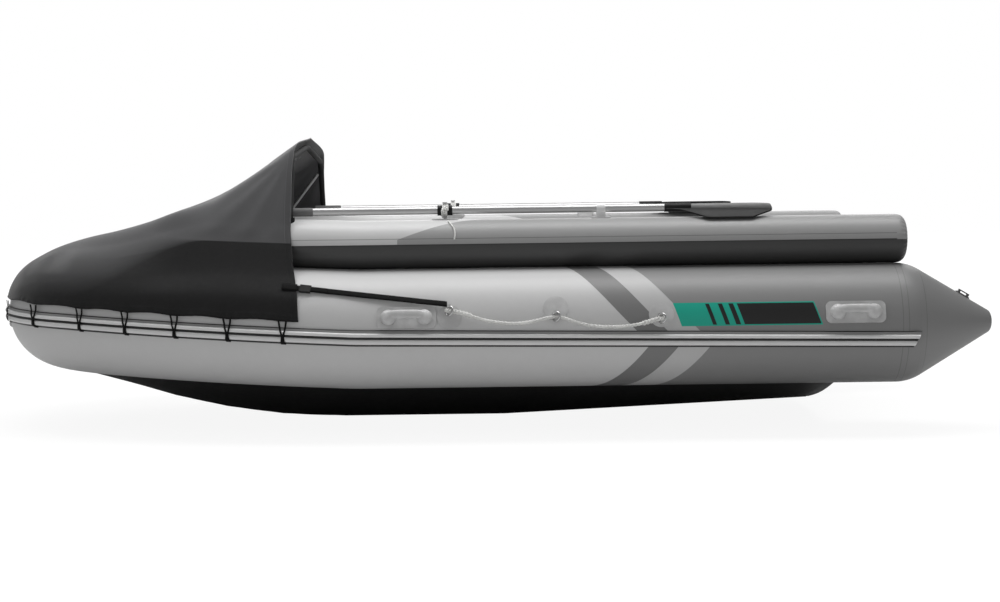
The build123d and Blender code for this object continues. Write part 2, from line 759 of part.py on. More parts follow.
with BuildPart() as ring_patches:
    for x, lift, _ in rings:
        for _, sign in SIDES:
            with BuildSketch(radial(x, sign, degrees(asin(lift / tube_radius)), tube_radius - 20)):
                Circle(patch_radius)
            extrude(amount=40)
    add(patch_shell.part, mode=Mode.INTERSECT)
    for x, _, lift in rings:
        for _, sign in SIDES:
            with BuildSketch(radial(x, sign, degrees(asin(lift / tube_radius)), tube_radius + 1)):
                with Locations((0, -sign * ring_radius)):
                    Rectangle(16, 12)
            extrude(amount=ring_out + 6)
            with Locations(ring_plane(x, lift, sign).location):
                Torus(ring_radius, ring_wire + seat_gap, mode=Mode.SUBTRACT)
save(ring_patches, "ring_patches")

with BuildPart() as grab_rings:
    for x, _, lift in rings:
        for _, sign in SIDES:
            with Locations(ring_plane(x, lift, sign).location):
                Torus(ring_radius, ring_wire)
save(grab_rings, "grab_rings")


def cord_radii(points):
    """Bend radius at each inner point: 0.45 of the shorter run over the tangent of half the turn."""
    radii = []
    for a, b, c in zip(points, points[1:], points[2:]):
        before, after = Vector(*b) - Vector(*a), Vector(*c) - Vector(*b)
        half_turn = radians(before.get_angle(after)) / 2
        radii.append(0.45 * min(before.length, after.length) / tan(half_turn))
    print("cord radii", [round(r) for r in radii])
    return radii


# Grab rope through the rings: share of the way from the first ring to the last, lift over the axis,
# distance out of the tube.
rope_radius = 7.0
rope_table = (
    (-0.0225, 82, 22), (0.0178, 79, 19), (0.0770, 70, 13), (0.1469, 49, 10),
    (0.2180, 37, 10), (0.2891, 31, 10), (0.3602, 33, 10), (0.4254, 44, 12),
    (0.4775, 54, 18), (0.5273, 53, 18), (0.5818, 37, 12), (0.6505, 21, 10),
    (0.7275, 14, 10), (0.8045, 14, 10), (0.8697, 19, 10), (0.9289, 29, 13),
    (0.9799, 41, 18), (1.0225, 47, 21),
)
rope_fore, rope_run = rings[0][0], rings[0][0] - rings[-1][0]
for side, sign in SIDES:
    rope_points = []
    for share, lift, out in rope_table:
        wall = radial(rope_fore - share * rope_run, sign, degrees(asin(lift / tube_radius)), tube_radius + out)
        rope_points.append(tuple(wall.origin))
    with BuildPart() as grab_rope:
        with BuildLine() as rope_line:
            FilletPolyline(rope_points, radius=cord_radii(rope_points))
        rope_wire = rope_line.wire()
        with BuildSketch(Plane(origin=rope_wire @ 0, z_dir=rope_wire % 0)):
            Circle(rope_radius)
        sweep(path=rope_wire)
    save(grab_rope, f"grab_rope_{side}")

# Cord tail that hangs from the rowlock over the upper tube: angle round the tube, distance aft.
tail_radius = 3.0
tail_table = ((66, 14), (52, 28), (38, 40), (24, 44), (12, 40))
for side, sign in SIDES:
    tail_points = []
    for angle, back in tail_table:
        out = upper_radius + tail_radius + 0.8
        wall = radial(rowlock_x - back, sign, angle, out, upper_y, upper_z)
        tail_points.append(tuple(wall.origin))
    with BuildPart() as cord_tail:
        with BuildLine() as tail_line:
            FilletPolyline(tail_points, radius=cord_radii(tail_points))
        tail_wire = tail_line.wire()
        with BuildSketch(Plane(origin=tail_wire @ 0, z_dir=tail_wire % 0)):
            Circle(tail_radius)
        sweep(path=tail_wire)
    save(cord_tail, f"cord_tail_{side}")

# Taut webbing from the hood's rim to the first ring's lug, with a buckle near the hood.
strap_half = 12.5
strap_thick = 2.0
strap_lap = 18.0
strap_share = 0.44
buckle_aft = 54.0
low, high = (Vector(hood_rim_x, *point) for point in hood_sections[0][1][1:3])
strap_across = (high - low).normalized()
strap_outward = Vector(0, strap_across.Z, -strap_across.Y)
strap_seat = low + (high - low) * strap_share + strap_outward * (strap_thick / 2 + seat_gap)
ring_x, _, ring_lift = rings[0]
lug_wall = radial(ring_x, 1, degrees(asin(ring_lift / tube_radius)), tube_radius + ring_out)
strap_end = lug_wall.origin - lug_wall.y_dir * (ring_radius + 9.8) - lug_wall.z_dir * 5.8 + Vector(8.4, 0, 0)
strap_start = strap_seat + (strap_seat - strap_end).normalized() * strap_lap
straps = []
with BuildPart() as hood_straps:
    for _, sign in SIDES:
        fore, aft, across = (Vector(v.X, sign * v.Y, v.Z) for v in (strap_start, strap_end, strap_across))
        strap_plane = Plane(origin=fore, x_dir=across, z_dir=aft - fore)
        straps.append(strap_plane)
        with BuildSketch(strap_plane):
            Rectangle(2 * strap_half, strap_thick)
        extrude(amount=(aft - fore).length)
save(hood_straps, "hood_straps")

with BuildPart() as strap_buckles:
    for strap_plane in straps:
        with BuildSketch(strap_plane.offset(buckle_aft)):
            RectangleRounded(36, 10, 3)
            Rectangle(2 * strap_half + 0.4, strap_thick + 0.4, mode=Mode.SUBTRACT)
        extrude(amount=46)
save(strap_buckles, "strap_buckles")

# Small lifting loops on the cones' tops.
loop_back = stern_x + 119.0
with BuildPart() as cone_loops:
    for sign, cone_part in cones:
        slope = radians(cone_angle)
        bend_x = cone_x - cone_bend * sin(slope)
        bend_r = tube_radius - cone_bend * (1 - cos(slope))
        loop_z = tube_z + bend_r - (bend_x - loop_back) * tan(slope)
        normal = Vector(-sin(slope), 0, cos(slope))
        seat = Plane(origin=(loop_back, sign * tube_y, loop_z), x_dir=(0, 1, 0), z_dir=normal)
        with BuildSketch(seat.offset(4)):
            RectangleRounded(34, 62, 10)
        extrude(amount=-12)
        add(cone_part.moved(Location(normal * seat_gap)), mode=Mode.SUBTRACT)
        with BuildSketch(Plane(origin=seat.origin, x_dir=seat.y_dir, z_dir=(0, 1, 0))):
            with BuildLine():
                Polyline((-24, 3.5), (-24, 16), (24, 16), (24, 3.5), close=True)
            make_face()
            with Locations((0, 8)):
                Rectangle(30, 8, mode=Mode.SUBTRACT)
        extrude(amount=8, both=True)
save(cone_loops, "cone_loops")

# Feet under the arch and the struts.
with BuildPart() as hood_feet:
    for _, sign in SIDES:
        with BuildSketch(Plane.XY.offset(foot_z)):
            with Locations((arch_x, sign * foot_y)):
                Circle(19)
        extrude(amount=-30)
        with BuildSketch(Plane.XY.offset(strut_foot.Z + strut_sink)):
            with Locations((strut_foot.X, sign * strut_foot.Y)):
                Circle(19)
        extrude(amount=-30 - strut_sink)
        top = Vector(strut_top.X, sign * strut_top.Y, strut_top.Z)
        low = Vector(strut_foot.X, sign * strut_foot.Y, strut_foot.Z)
        with BuildSketch(Plane(origin=low, z_dir=top - low).offset(-seat_gap)):
            Circle(strut_radius + seat_gap)
        extrude(amount=60, mode=Mode.SUBTRACT)
    for fore_room in fore_rooms:
        add(fore_room, mode=Mode.SUBTRACT)
save(hood_feet, "hood_feet")

# Bow eye below the strake at the stem.
eye_z = axis_z(axis_tip_x) - 65.0
eye_hole = 8.5
eye_round = 17.5
eye_half = 7.0
eye_x = bow_x + bow_eye_reach - eye_round
with BuildPart() as bow_eye:
    with BuildSketch(Plane.YZ.offset(eye_x - 22)):
        with Locations((0, eye_z)):
            RectangleRounded(64, 52, 14)
    extrude(amount=12)
    with BuildSketch(Plane.YZ.offset(eye_x - 22)):
        with Locations((0, eye_z)):
            RectangleRounded(64, 52, 14)
    extrude(amount=-40)
    with BuildSketch(Plane.XZ):
        with Locations((eye_x, eye_z)):
            Circle(eye_round)
        with Locations((eye_x - 15, eye_z)):
            Rectangle(30, 2 * eye_round)
    extrude(amount=eye_half, both=True)
    add(bow_room.part, mode=Mode.SUBTRACT)
    with BuildSketch(Plane.XZ):
        with Locations((eye_x, eye_z)):
            Circle(eye_hole)
    extrude(amount=4 * eye_half, both=True, mode=Mode.SUBTRACT)
save(bow_eye, "bow_eye")

# Inflation valves on the inner upper side of the tubes.
with BuildPart() as valves:
    for _, sign in SIDES:
        with BuildSketch(radial(joint_x - 0.7577 * side_run, sign, 146.0, tube_radius + 6)):
            Circle(30)
        extrude(amount=-22)
    add(side_room.part, mode=Mode.SUBTRACT)
save(valves, "valves")
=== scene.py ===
"""Looks of an inflatable boat with a bow hood, two stowed oars and a grab rope on each side.

X points to the bow, Y to port and Z up, in metres. Soft pieces are grids that are wrapped round
the boat's lines. Rigid pieces are the CAD nodes with a finish of their own.
"""

import logging
import math
from collections.abc import Callable, Sequence
from dataclasses import dataclass, field
from enum import Enum
from typing import Any

import bpy
import numpy as np
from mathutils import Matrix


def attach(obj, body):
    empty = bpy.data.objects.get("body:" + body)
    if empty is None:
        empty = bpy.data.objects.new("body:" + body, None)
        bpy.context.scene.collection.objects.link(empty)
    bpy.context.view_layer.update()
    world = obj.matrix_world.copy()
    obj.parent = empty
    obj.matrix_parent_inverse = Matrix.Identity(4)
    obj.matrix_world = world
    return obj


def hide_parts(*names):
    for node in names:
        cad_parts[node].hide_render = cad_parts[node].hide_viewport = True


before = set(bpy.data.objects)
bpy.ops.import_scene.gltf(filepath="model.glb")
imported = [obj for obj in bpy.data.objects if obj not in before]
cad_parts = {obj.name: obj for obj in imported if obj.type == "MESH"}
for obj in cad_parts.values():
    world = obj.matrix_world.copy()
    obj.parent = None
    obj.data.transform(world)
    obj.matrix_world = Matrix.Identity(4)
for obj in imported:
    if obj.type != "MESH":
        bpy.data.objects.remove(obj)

log = logging.getLogger("boat")
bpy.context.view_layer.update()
Array = np.ndarray
Place = Callable[[Array, Array], tuple[Array, Array, Array]]
EDGE = 0.0006  # half the width over which a painted edge fades
WELD = 0.00005  # points nearer than this are one where a grid closes


class Side(Enum):
    """Side of the boat, with the sign of its Y."""

    PORT = 1
    STARBOARD = -1

    @property
    def word(self) -> str:
        """Name of the side as the CAD nodes spell it."""
        return self.name.lower()


class Value:
    """A socket in a material's node tree that takes part in Python arithmetic."""

    def __init__(self, tree: bpy.types.NodeTree, socket: bpy.types.NodeSocket) -> None:
        """Keep the tree and the socket."""
        self.tree = tree
        self.socket = socket

    def node(self, kind: str, settings: dict[str, Any] | None = None, **inputs: Any) -> "Value":
        """Add a node and return its first output.

        Args:
            kind: The node's type name.
            settings: Attributes that are set before the sockets.
            inputs: Socket values or links, by a name such as Scale, or i0 for the first socket.

        Returns:
            The new node's first output that is in use.
        """
        return add_node(self.tree, kind, settings, **inputs)

    def math(self, operation: str, *others: Any) -> "Value":
        """Apply a Math node to this value and the others."""
        sockets = {f"i{i}": v for i, v in enumerate((self, *others))}
        return self.node("ShaderNodeMath", {"operation": operation}, **sockets)

    def __add__(self, other: Any) -> "Value":
        """Sum."""
        return self.math("ADD", other)

    __radd__ = __add__

    def __sub__(self, other: Any) -> "Value":
        """Difference."""
        return self.math("SUBTRACT", other)

    def __rsub__(self, other: Any) -> "Value":
        """Difference from a number."""
        return self.node("ShaderNodeMath", {"operation": "SUBTRACT"}, i0=other, i1=self)

    def __mul__(self, other: Any) -> "Value":
        """Product."""
        return self.math("MULTIPLY", other)

    __rmul__ = __mul__

    def __abs__(self) -> "Value":
        """Size without sign."""
        return self.math("ABSOLUTE")

    def step(self, low: float, high: float) -> "Value":
        """Smooth step from 0 at low to 1 at high."""
        settings = {"interpolation_type": "SMOOTHSTEP"}
        return self.node("ShaderNodeMapRange", settings, i0=self, i1=low, i2=high, i3=0.0, i4=1.0)

    def near(self, middle: Any, half: float, soft: float) -> "Value":
        """Band that is 1 within half of the middle and fades over soft."""
        return 1.0 - abs(self - middle).step(half, half + soft)


def add_node(
    tree: bpy.types.NodeTree, kind: str, settings: dict[str, Any] | None = None, **inputs: Any
) -> Value:
    """Add a node to a tree.

    Args:
        tree: Node tree of a material or world.
        kind: The node's type name.
        settings: Attributes to set first.
        inputs: Socket values or links, by name with _ for a space, or i0, i1 and so on.

    Returns:
        The node's first enabled output, wrapped.
    """
    node = tree.nodes.new(kind)
    for key, value in (settings or {}).items():
        setattr(node, key, value)
    for key, value in inputs.items():
        numbered = key[0] == "i" and key[1:].isdigit()
        socket = node.inputs[int(key[1:])] if numbered else node.inputs[key.replace("_", " ")]
        if isinstance(value, Value):
            tree.links.new(value.socket, socket)
        else:
            socket.default_value = value
    outputs = [o for o in node.outputs if o.enabled]
    return Value(tree, outputs[0] if outputs else None)


def rgba(level: float | Sequence[float]) -> tuple[float, float, float, float]:
    """Linear colour of four numbers from a grey level or three numbers."""
    parts = (level, level, level) if isinstance(level, (int, float)) else tuple(level)
    return (*parts, 1.0)


class Painter:
    """A new material's node tree with its Principled shader and common inputs."""

    def __init__(self, name: str) -> None:
        """Make the material and find its shader.

        Args:
            name: Name of the material.
        """
        self.material = bpy.data.materials.new(name)
        self.material.use_nodes = True
        self.tree = self.material.node_tree
        self.shader = next(n for n in self.tree.nodes if n.type == "BSDF_PRINCIPLED")
        self.where = self.add("ShaderNodeTexCoord")
        self.where.socket = self.where.socket.node.outputs["Object"]

    def add(self, kind: str, settings: dict[str, Any] | None = None, **inputs: Any) -> Value:
        """Add a node, as add_node does."""
        return add_node(self.tree, kind, settings, **inputs)

    def split(self) -> tuple[Value, Value, Value]:
        """Object coordinates as three values."""
        parts = self.add("ShaderNodeSeparateXYZ", Vector=self.where).socket.node.outputs
        return tuple(Value(self.tree, o) for o in parts)

    def uv(self) -> tuple[Value, Value]:
        """The piece's own UV map.

        Returns:
            Distance along the rows and along the columns.
        """
        coordinates = self.add("ShaderNodeTexCoord")
        coordinates.socket = coordinates.socket.node.outputs["UV"]
        parts = self.add("ShaderNodeSeparateXYZ", Vector=coordinates).socket.node.outputs
        return Value(self.tree, parts[0]), Value(self.tree, parts[1])

    def noise(self, scale: float, detail: float = 2.0, stretch: Sequence[float] | None = None) -> Value:
        """Noise on Object coordinates.

        Args:
            scale: The noise's scale.
            detail: Its detail.
            stretch: Scale along each axis, if any.

        Returns:
            The noise, from 0 to 1.
        """
        vector = self.where
        if stretch is not None:
            vector = self.add("ShaderNodeMapping", Vector=vector, Scale=tuple(stretch))
        return self.add("ShaderNodeTexNoise", Vector=vector, Scale=scale, Detail=detail)

    def wave(self, value: Value, length: float) -> Value:
        """Sine of a distance, from -1 to 1, with the given wave length."""
        return (value * (math.tau / length)).math("SINE")

    def cut(self, value: Value) -> Value:
        """Sharp step from 0 to 1 where a distance passes 0."""
        return value.step(-EDGE, EDGE)

    def mix(self, share: Value, low: Any, high: Any) -> Value:
        """Mix two colours.

        Args:
            share: Share of the second, from 0 to 1.
            low: First colour, grey level or Value.
            high: Second colour, grey level or Value.

        Returns:
            The mixed colour.
        """
        node = self.tree.nodes.new("ShaderNodeMix")
        node.data_type = "RGBA"
        names = [s for s in node.inputs if s.enabled]
        for socket, value in zip(names, (share, low, high)):
            if isinstance(value, Value):
                self.tree.links.new(value.socket, socket)
            else:
                socket.default_value = rgba(value) if socket.type == "RGBA" else value
        return Value(self.tree, next(o for o in node.outputs if o.enabled))

    def set(self, **inputs: Any) -> None:
        """Set or link the shader's own sockets.

        Args:
            inputs: Values or links, by the socket's name with _ for a space.
        """
        for key, value in inputs.items():
            socket = self.shader.inputs[key.replace("_", " ")]
            if isinstance(value, Value):
                self.tree.links.new(value.socket, socket)
            elif socket.type == "RGBA":
                socket.default_value = rgba(value)
            else:
                socket.default_value = value

    def bump(self, height: Value, depth: float, strength: float = 1.0) -> None:
        """Feed the shader's normal from a height of 0 to 1 that is depth metres deep."""
        self.set(Normal=self.add("ShaderNodeBump", Height=height, Distance=depth, Strength=strength))

    def grey(self, level: Value, blue: float = 1.0) -> None:
        """Feed the base colour from a grey level, with its blue part scaled."""
        self.set(Base_Color=self.add("ShaderNodeCombineXYZ", i0=level, i1=level, i2=level * blue))


@dataclass(frozen=True)
class Finish:
    """A named material whose nodes a subclass adds."""

    name: str

    def coat(self, paint: Painter) -> None:
        """Add the finish's nodes and feed the shader."""
        raise NotImplementedError

    def material(self) -> bpy.types.Material:
        """Build the material.

        Returns:
            The new material.
        """
        paint = Painter(self.name)
        self.coat(paint)
        return paint.material


@dataclass(frozen=True)
class Fabric(Finish):
    """Coated fabric with a fine weave, faint clouds and a satin face."""

    grey: float
    roughness: float = 0.42
    weave: float = 900.0
    cloud: float = 0.06

    def panels(self, paint: Painter) -> tuple[Any, Value | None]:
        """Base colour, and the height of seams where there are any."""
        return self.grey, None

    def coat(self, paint: Painter) -> None:
        """Clouds and soil over the panels, with the seams and the weave raised.

        Args:
            paint: The material.
        """
        base, seam = self.panels(paint)
        cloud = paint.noise(3.0, 4.0)
        soil = paint.noise(38.0, 3.0)
        shade = 1.0 + (cloud - 0.5) * self.cloud + (soil - 0.5) * (0.6 * self.cloud)
        colour = base if isinstance(base, Value) else paint.mix(cloud, base, base)
        scale = {"operation": "SCALE"}
        paint.set(Base_Color=paint.add("ShaderNodeVectorMath", scale, i0=colour, Scale=shade))
        paint.set(Roughness=self.roughness + (soil - 0.5) * 0.12)
        weave = paint.noise(self.weave, 1.0) * 0.12
        paint.bump(weave if seam is None else seam + weave, 0.0012, 0.35)


@dataclass(frozen=True)
class TubePanels(Fabric):
    """The main tube's fabric: pale fore part, two slanted stripes and a dark stern."""

    stripe: float = 0.2
    pale: float = 0.52
    dark: float = 0.24
    widths: tuple[float, float, float] = (0.0, 0.121, 0.248)
    decal_x: float = -1.0835
    decal_half: tuple[float, float] = (0.281, 0.0475)
    decal_angle: float = 14.0
    decal_slant: float = 0.35
    decal_rim: float = 0.005
    decal_fore: float = 0.155
    bars: tuple[tuple[float, float], ...] = ((0.122, 0.017), (0.075, 0.012), (0.036, 0.007))
    teal: tuple[float, float, float] = (0.004, 0.4, 0.29)
    black: float = 0.008
    knee: float = -8.5
    over_knee: tuple[float, float, float] = (0.004269, 0.00001286, -0.6374)
    under_knee: tuple[float, float] = (-0.003327, -0.740)
    cone_seams: tuple[float, ...] = (-0.012, 0.012, 0.087)
    tape: float = 0.012
    second_tape: float = 0.075

    def decal(self, paint: Painter, x: Value, angle: Value, colour: Value) -> Value:
        """Plain slanted bars of two colours on the tube's side.

        Args:
            paint: The material.
            x: Station.
            angle: Angle above level in degrees.
            colour: Colour of the fabric under the bars.

        Returns:
            The colour with the bars on it.
        """
        half, rise = self.decal_half
        up = (angle - self.decal_angle) * math.radians(LINES.tube_radius)
        along = x - self.decal_x - up * self.decal_slant
        rims = (0.0, self.decal_rim)
        outer, inner = (along.near(0.0, half - r, EDGE) * up.near(0.0, rise - r, EDGE) for r in rims)
        bars = paint.cut(along - self.decal_fore)
        for middle, width in self.bars:
            bars = bars.math("MAXIMUM", along.near(middle, width, EDGE))
        painted = paint.mix(inner, self.teal, paint.mix(bars, self.black, self.teal))
        return paint.mix(outer, colour, painted)

    def panels(self, paint: Painter) -> tuple[Any, Value | None]:
        """Stripes by station and by angle round the tube, with a raised edge at each panel.

        Args:
            paint: The material.

        Returns:
            Base colour and the height of the seams.
        """
        x, y, z = paint.split()
        angle = (z - LINES.tube_z).math("ARCTAN2", abs(y) - LINES.tube_y) * math.degrees(1.0)
        slope, bend, start = self.over_knee
        above = angle * slope - angle * angle * bend + start
        below = angle * self.under_knee[0] + self.under_knee[1]
        edge = below + (above - below) * angle.step(self.knee - 0.1, self.knee + 0.1)
        colour: Any = self.grey
        for width, level in zip(self.widths, (self.stripe, self.pale, self.dark)):
            colour = paint.mix(paint.cut(edge - width - x), colour, level)
        stations = [LINES.cone_x - back for back in self.cone_seams]
        seams = sum((x.near(station, 0.0011, EDGE) for station in stations), start=x * 0.0)
        colour = self.decal(paint, x, angle, paint.mix(seams * 0.35, colour, 0.05))
        lap = sum(((edge - width - x).step(-0.004, 0.0) for width in self.widths), start=x * 0.0)
        tapes = (LINES.cone_x, LINES.cone_x - self.second_tape)
        girth, cone = (x.near(station, self.tape, 0.001) * 0.6 for station in tapes)
        crown = abs(y).near(LINES.tube_y - 0.12, 0.02, 0.001)
        crown = crown * z.step(LINES.tube_z, LINES.tube_z + 0.02)
        return colour, lap * 0.5 + girth + cone + crown * 0.5


@dataclass(frozen=True)
class UpperPanels(Fabric):
    """The upper tube's fabric: pale fore panel with a slanted end, dark lower half, seam band."""

    mid: float = 0.33
    under: float = 0.05
    fore_end: float = 0.318
    slant_from: float = 12.6
    slant: float = 0.0046
    band: float = 0.025

    def panels(self, paint: Painter) -> tuple[Any, Value | None]:
        """Panels by station and by angle round the tube.

        Args:
            paint: The material.

        Returns:
            Base colour and the height of the seams.
        """
        x, y, z = paint.split()
        angle = (z - LINES.upper_z).math("ARCTAN2", abs(y) - LINES.upper_y) * math.degrees(1.0)
        edge = self.fore_end - (angle - self.slant_from).math("MAXIMUM", 0.0) * self.slant
        fore = (x - edge).step(-0.0008, 0.0008)
        colour = paint.mix(fore, self.mid, self.grey)
        colour = paint.mix(paint.cut(z - LINES.upper_z + 0.001), self.under, colour)
        top = z.near(LINES.upper_z + self.band, 0.0012, 0.0008)
        line = top * 0.5 + z.near(LINES.upper_z, 0.002, 0.0008)
        colour = paint.mix(line * (x - LINES.upper_aft_x - 0.05).step(0.0, 0.002), colour, 0.03)
        band = z.near(LINES.upper_z + self.band / 2, self.band / 2, 0.0008)
        return colour, band * 0.6 + fore * 0.4


@dataclass(frozen=True)
class Plastic(Finish):
    """Moulded plastic or rubber with a fine grain."""

    colour: float | tuple[float, float, float]
    roughness: float = 0.45
    grain: float = 420.0
    depth: float = 0.0004
    wear: float = 1.0
    gloss: float = 0.5

    def coat(self, paint: Painter) -> None:
        """Worn colour with a fine grain.

        Args:
            paint: The material.
        """
        grain = paint.noise(self.grain, 2.0)
        wear = paint.noise(24.0, 4.0)
        colour = rgba(self.colour)[:3]
        levels = (1.0 - 0.1 * self.wear, 1.0 + 0.08 * self.wear)
        low, high = (tuple(level * c for c in colour) for level in levels)
        paint.set(Base_Color=paint.mix(wear.step(0.35, 0.75), low, high), Specular_IOR_Level=self.gloss)
        paint.set(Roughness=self.roughness + (wear - 0.5) * 0.15 * self.wear)
        paint.bump(grain, self.depth, 0.3)


@dataclass(frozen=True)
class StrakeFlange(Finish):
    """Grey flange of the strake, with black painted shade along its outer edge, in the groove between the
    ridges and below them.
    """

    grey: float = 0.3
    # black is painted shade at the outer edge, in the groove and below the ridges
    black: float = 0.012
    edge: float = 0.0085
    groove: float = 0.0175
    soft: float = 0.0008

    def coat(self, paint: Painter) -> None:
        """Grey between the edge and the groove, and black painted shade elsewhere.

        Args:
            paint: The material.
        """
        _, across = paint.uv()
        grain = paint.noise(420.0, 2.0)
        # the black outside the grey band is painted shade along the outer edge, in the groove and below the
        # lower ridge
        inside, past = (across.step(at - self.soft, at + self.soft) for at in (self.edge, self.groove))
        pale = inside * (1.0 - past)
        scuff = paint.noise(30.0, 3.0)
        paint.set(Base_Color=paint.mix(pale * (0.9 + scuff * 0.1), self.black, self.grey))
        paint.set(Roughness=0.42 + (scuff - 0.5) * 0.1)
        paint.bump(grain, 0.0003, 0.25)


@dataclass(frozen=True)
class Metal(Finish):
    """Bare metal with fine lines along one axis."""

    grey: float = 0.78
    roughness: float = 0.24
    stretch: tuple[float, float, float] = (4.0, 900.0, 900.0)

    def coat(self, paint: Painter) -> None:
        """Hazy metal with fine lines.

        Args:
            paint: The material.
        """
        lines = paint.noise(1.0, 2.0, self.stretch)
        haze = paint.noise(9.0, 3.0)
        paint.set(Base_Color=paint.mix(haze, self.grey * 0.94, self.grey), Metallic=1.0)
        paint.set(Roughness=self.roughness + (lines - 0.5) * 0.14 + (haze - 0.5) * 0.06)
        paint.bump(lines, 0.0002, 0.15)


@dataclass(frozen=True)
class Cloth(Finish):
    """Woven hood cloth with a matt face and a soft sheen, with painted shade on its sides and painted light
    on its top and over the bow.
    """

    # side is the cloth's grey with painted shade, top is the same cloth with painted light
    side: float = 0.009
    top: float = 0.1
    thread: float = 0.0016
    hem: float = 0.03
    stitch: float = 0.008
    yarn: float = 0.0006
    bow: tuple[float, float] = (1.1, 1.75)

    def coat(self, paint: Painter) -> None:
        """Weave, hem and stitches, with painted shade below the crease and painted light above it and over
        the bow.

        Args:
            paint: The material.
        """
        along, across = paint.uv()
        weave = paint.wave(along, self.thread) * paint.wave(across, self.thread) * 0.5 + 0.5
        slub = paint.noise(60.0, 3.0)
        dust = paint.noise(4.0, 4.0)
        low, aft = (1.0 - distance.step(self.hem, self.hem + 0.001) for distance in (across, along))
        hem = low.math("MAXIMUM", aft)
        dash, pick = (paint.wave(distance, self.stitch).step(-0.3, 0.1) for distance in (along, across))
        row, column = (distance.near(self.hem - 0.004, self.yarn, 0.0004) for distance in (across, along))
        stitch = row * dash + column * pick
        x, _, z = paint.split()
        bow = x.step(*self.bow)
        # painted light and shade: lighter above the upper tube's line and over the bow, darker below it on
        # the sides
        over = z - LINES.crease_z(x) + bow * 0.16
        painted_lit_share = paint.add("ShaderNodeMapRange", i0=over, i1=bow * -0.1, i2=0.004 + bow * 0.2)
        tone = self.side + painted_lit_share * (self.top - self.side)
        base = tone * (0.86 + dust * 0.24 + slub * 0.06 - hem * 0.12 + stitch * 1.2)
        paint.grey(base, 1.03)
        paint.set(Roughness=0.7 + (slub - 0.5) * 0.2, Specular_IOR_Level=0.2)
        paint.set(Sheen_Weight=0.35, Sheen_Roughness=0.35)
        paint.bump(weave * 0.25 + slub * 0.3 + hem * 0.8 - stitch * 0.5, 0.0012, 0.4)


@dataclass(frozen=True)
class Webbing(Finish):
    """Flat woven band with cross ribs and stitched edges, on the piece's UV map."""

    grey: float = 0.005
    rib: float = 0.0024
    half: float = 0.0125

    def coat(self, paint: Painter) -> None:
        """Ribs and edges.

        Args:
            paint: The material.
        """
        along, across = paint.uv()
        rib = (paint.wave(along, self.rib) * 0.5 + 0.5) * 0.7
        edge = abs(across - self.half).step(0.8 * self.half, 0.92 * self.half)
        fuzz = paint.noise(500.0, 2.0)
        paint.grey(self.grey * (0.8 + fuzz * 0.5 + edge * 0.3))
        paint.set(Roughness=0.75 + (fuzz - 0.5) * 0.2, Specular_IOR_Level=0.15)
        paint.bump(rib + fuzz * 0.3, 0.0006, 0.5)


@dataclass(frozen=True)
class Film(Finish):
    """Clear window film."""

    def coat(self, paint: Painter) -> None:
        """Rippled clear film.

        Args:
            paint: The material.
        """
        ripple = paint.noise(14.0, 2.0)
        paint.set(Base_Color=0.8, Alpha=0.28 + (ripple - 0.5) * 0.1, Roughness=0.08 + ripple * 0.06)
        paint.bump(ripple, 0.004, 0.4)


@dataclass(frozen=True)
class Board(Finish):
    """Painted plywood or ribbed metal boards."""

    grey: float
    metallic: float = 0.0
    pitch: float = 0.0
    roughness: float = 0.5

    def coat(self, paint: Painter) -> None:
        """Grain, and ribs where there is a pitch.

        Args:
            paint: The material.
        """
        _, y, _ = paint.split()
        grain = paint.noise(6.0, 5.0, (0.6, 9.0, 9.0))
        colour = paint.mix(grain.step(0.3, 0.8), self.grey * 0.9, self.grey * 1.08)
        paint.set(Base_Color=colour, Metallic=self.metallic)
        paint.set(Roughness=self.roughness + (grain - 0.5) * 0.2)
        height = grain * 0.1
        if self.pitch:
            height = height + paint.wave(y, self.pitch).step(0.6, 0.9)
        paint.bump(height, 0.0012, 0.6)


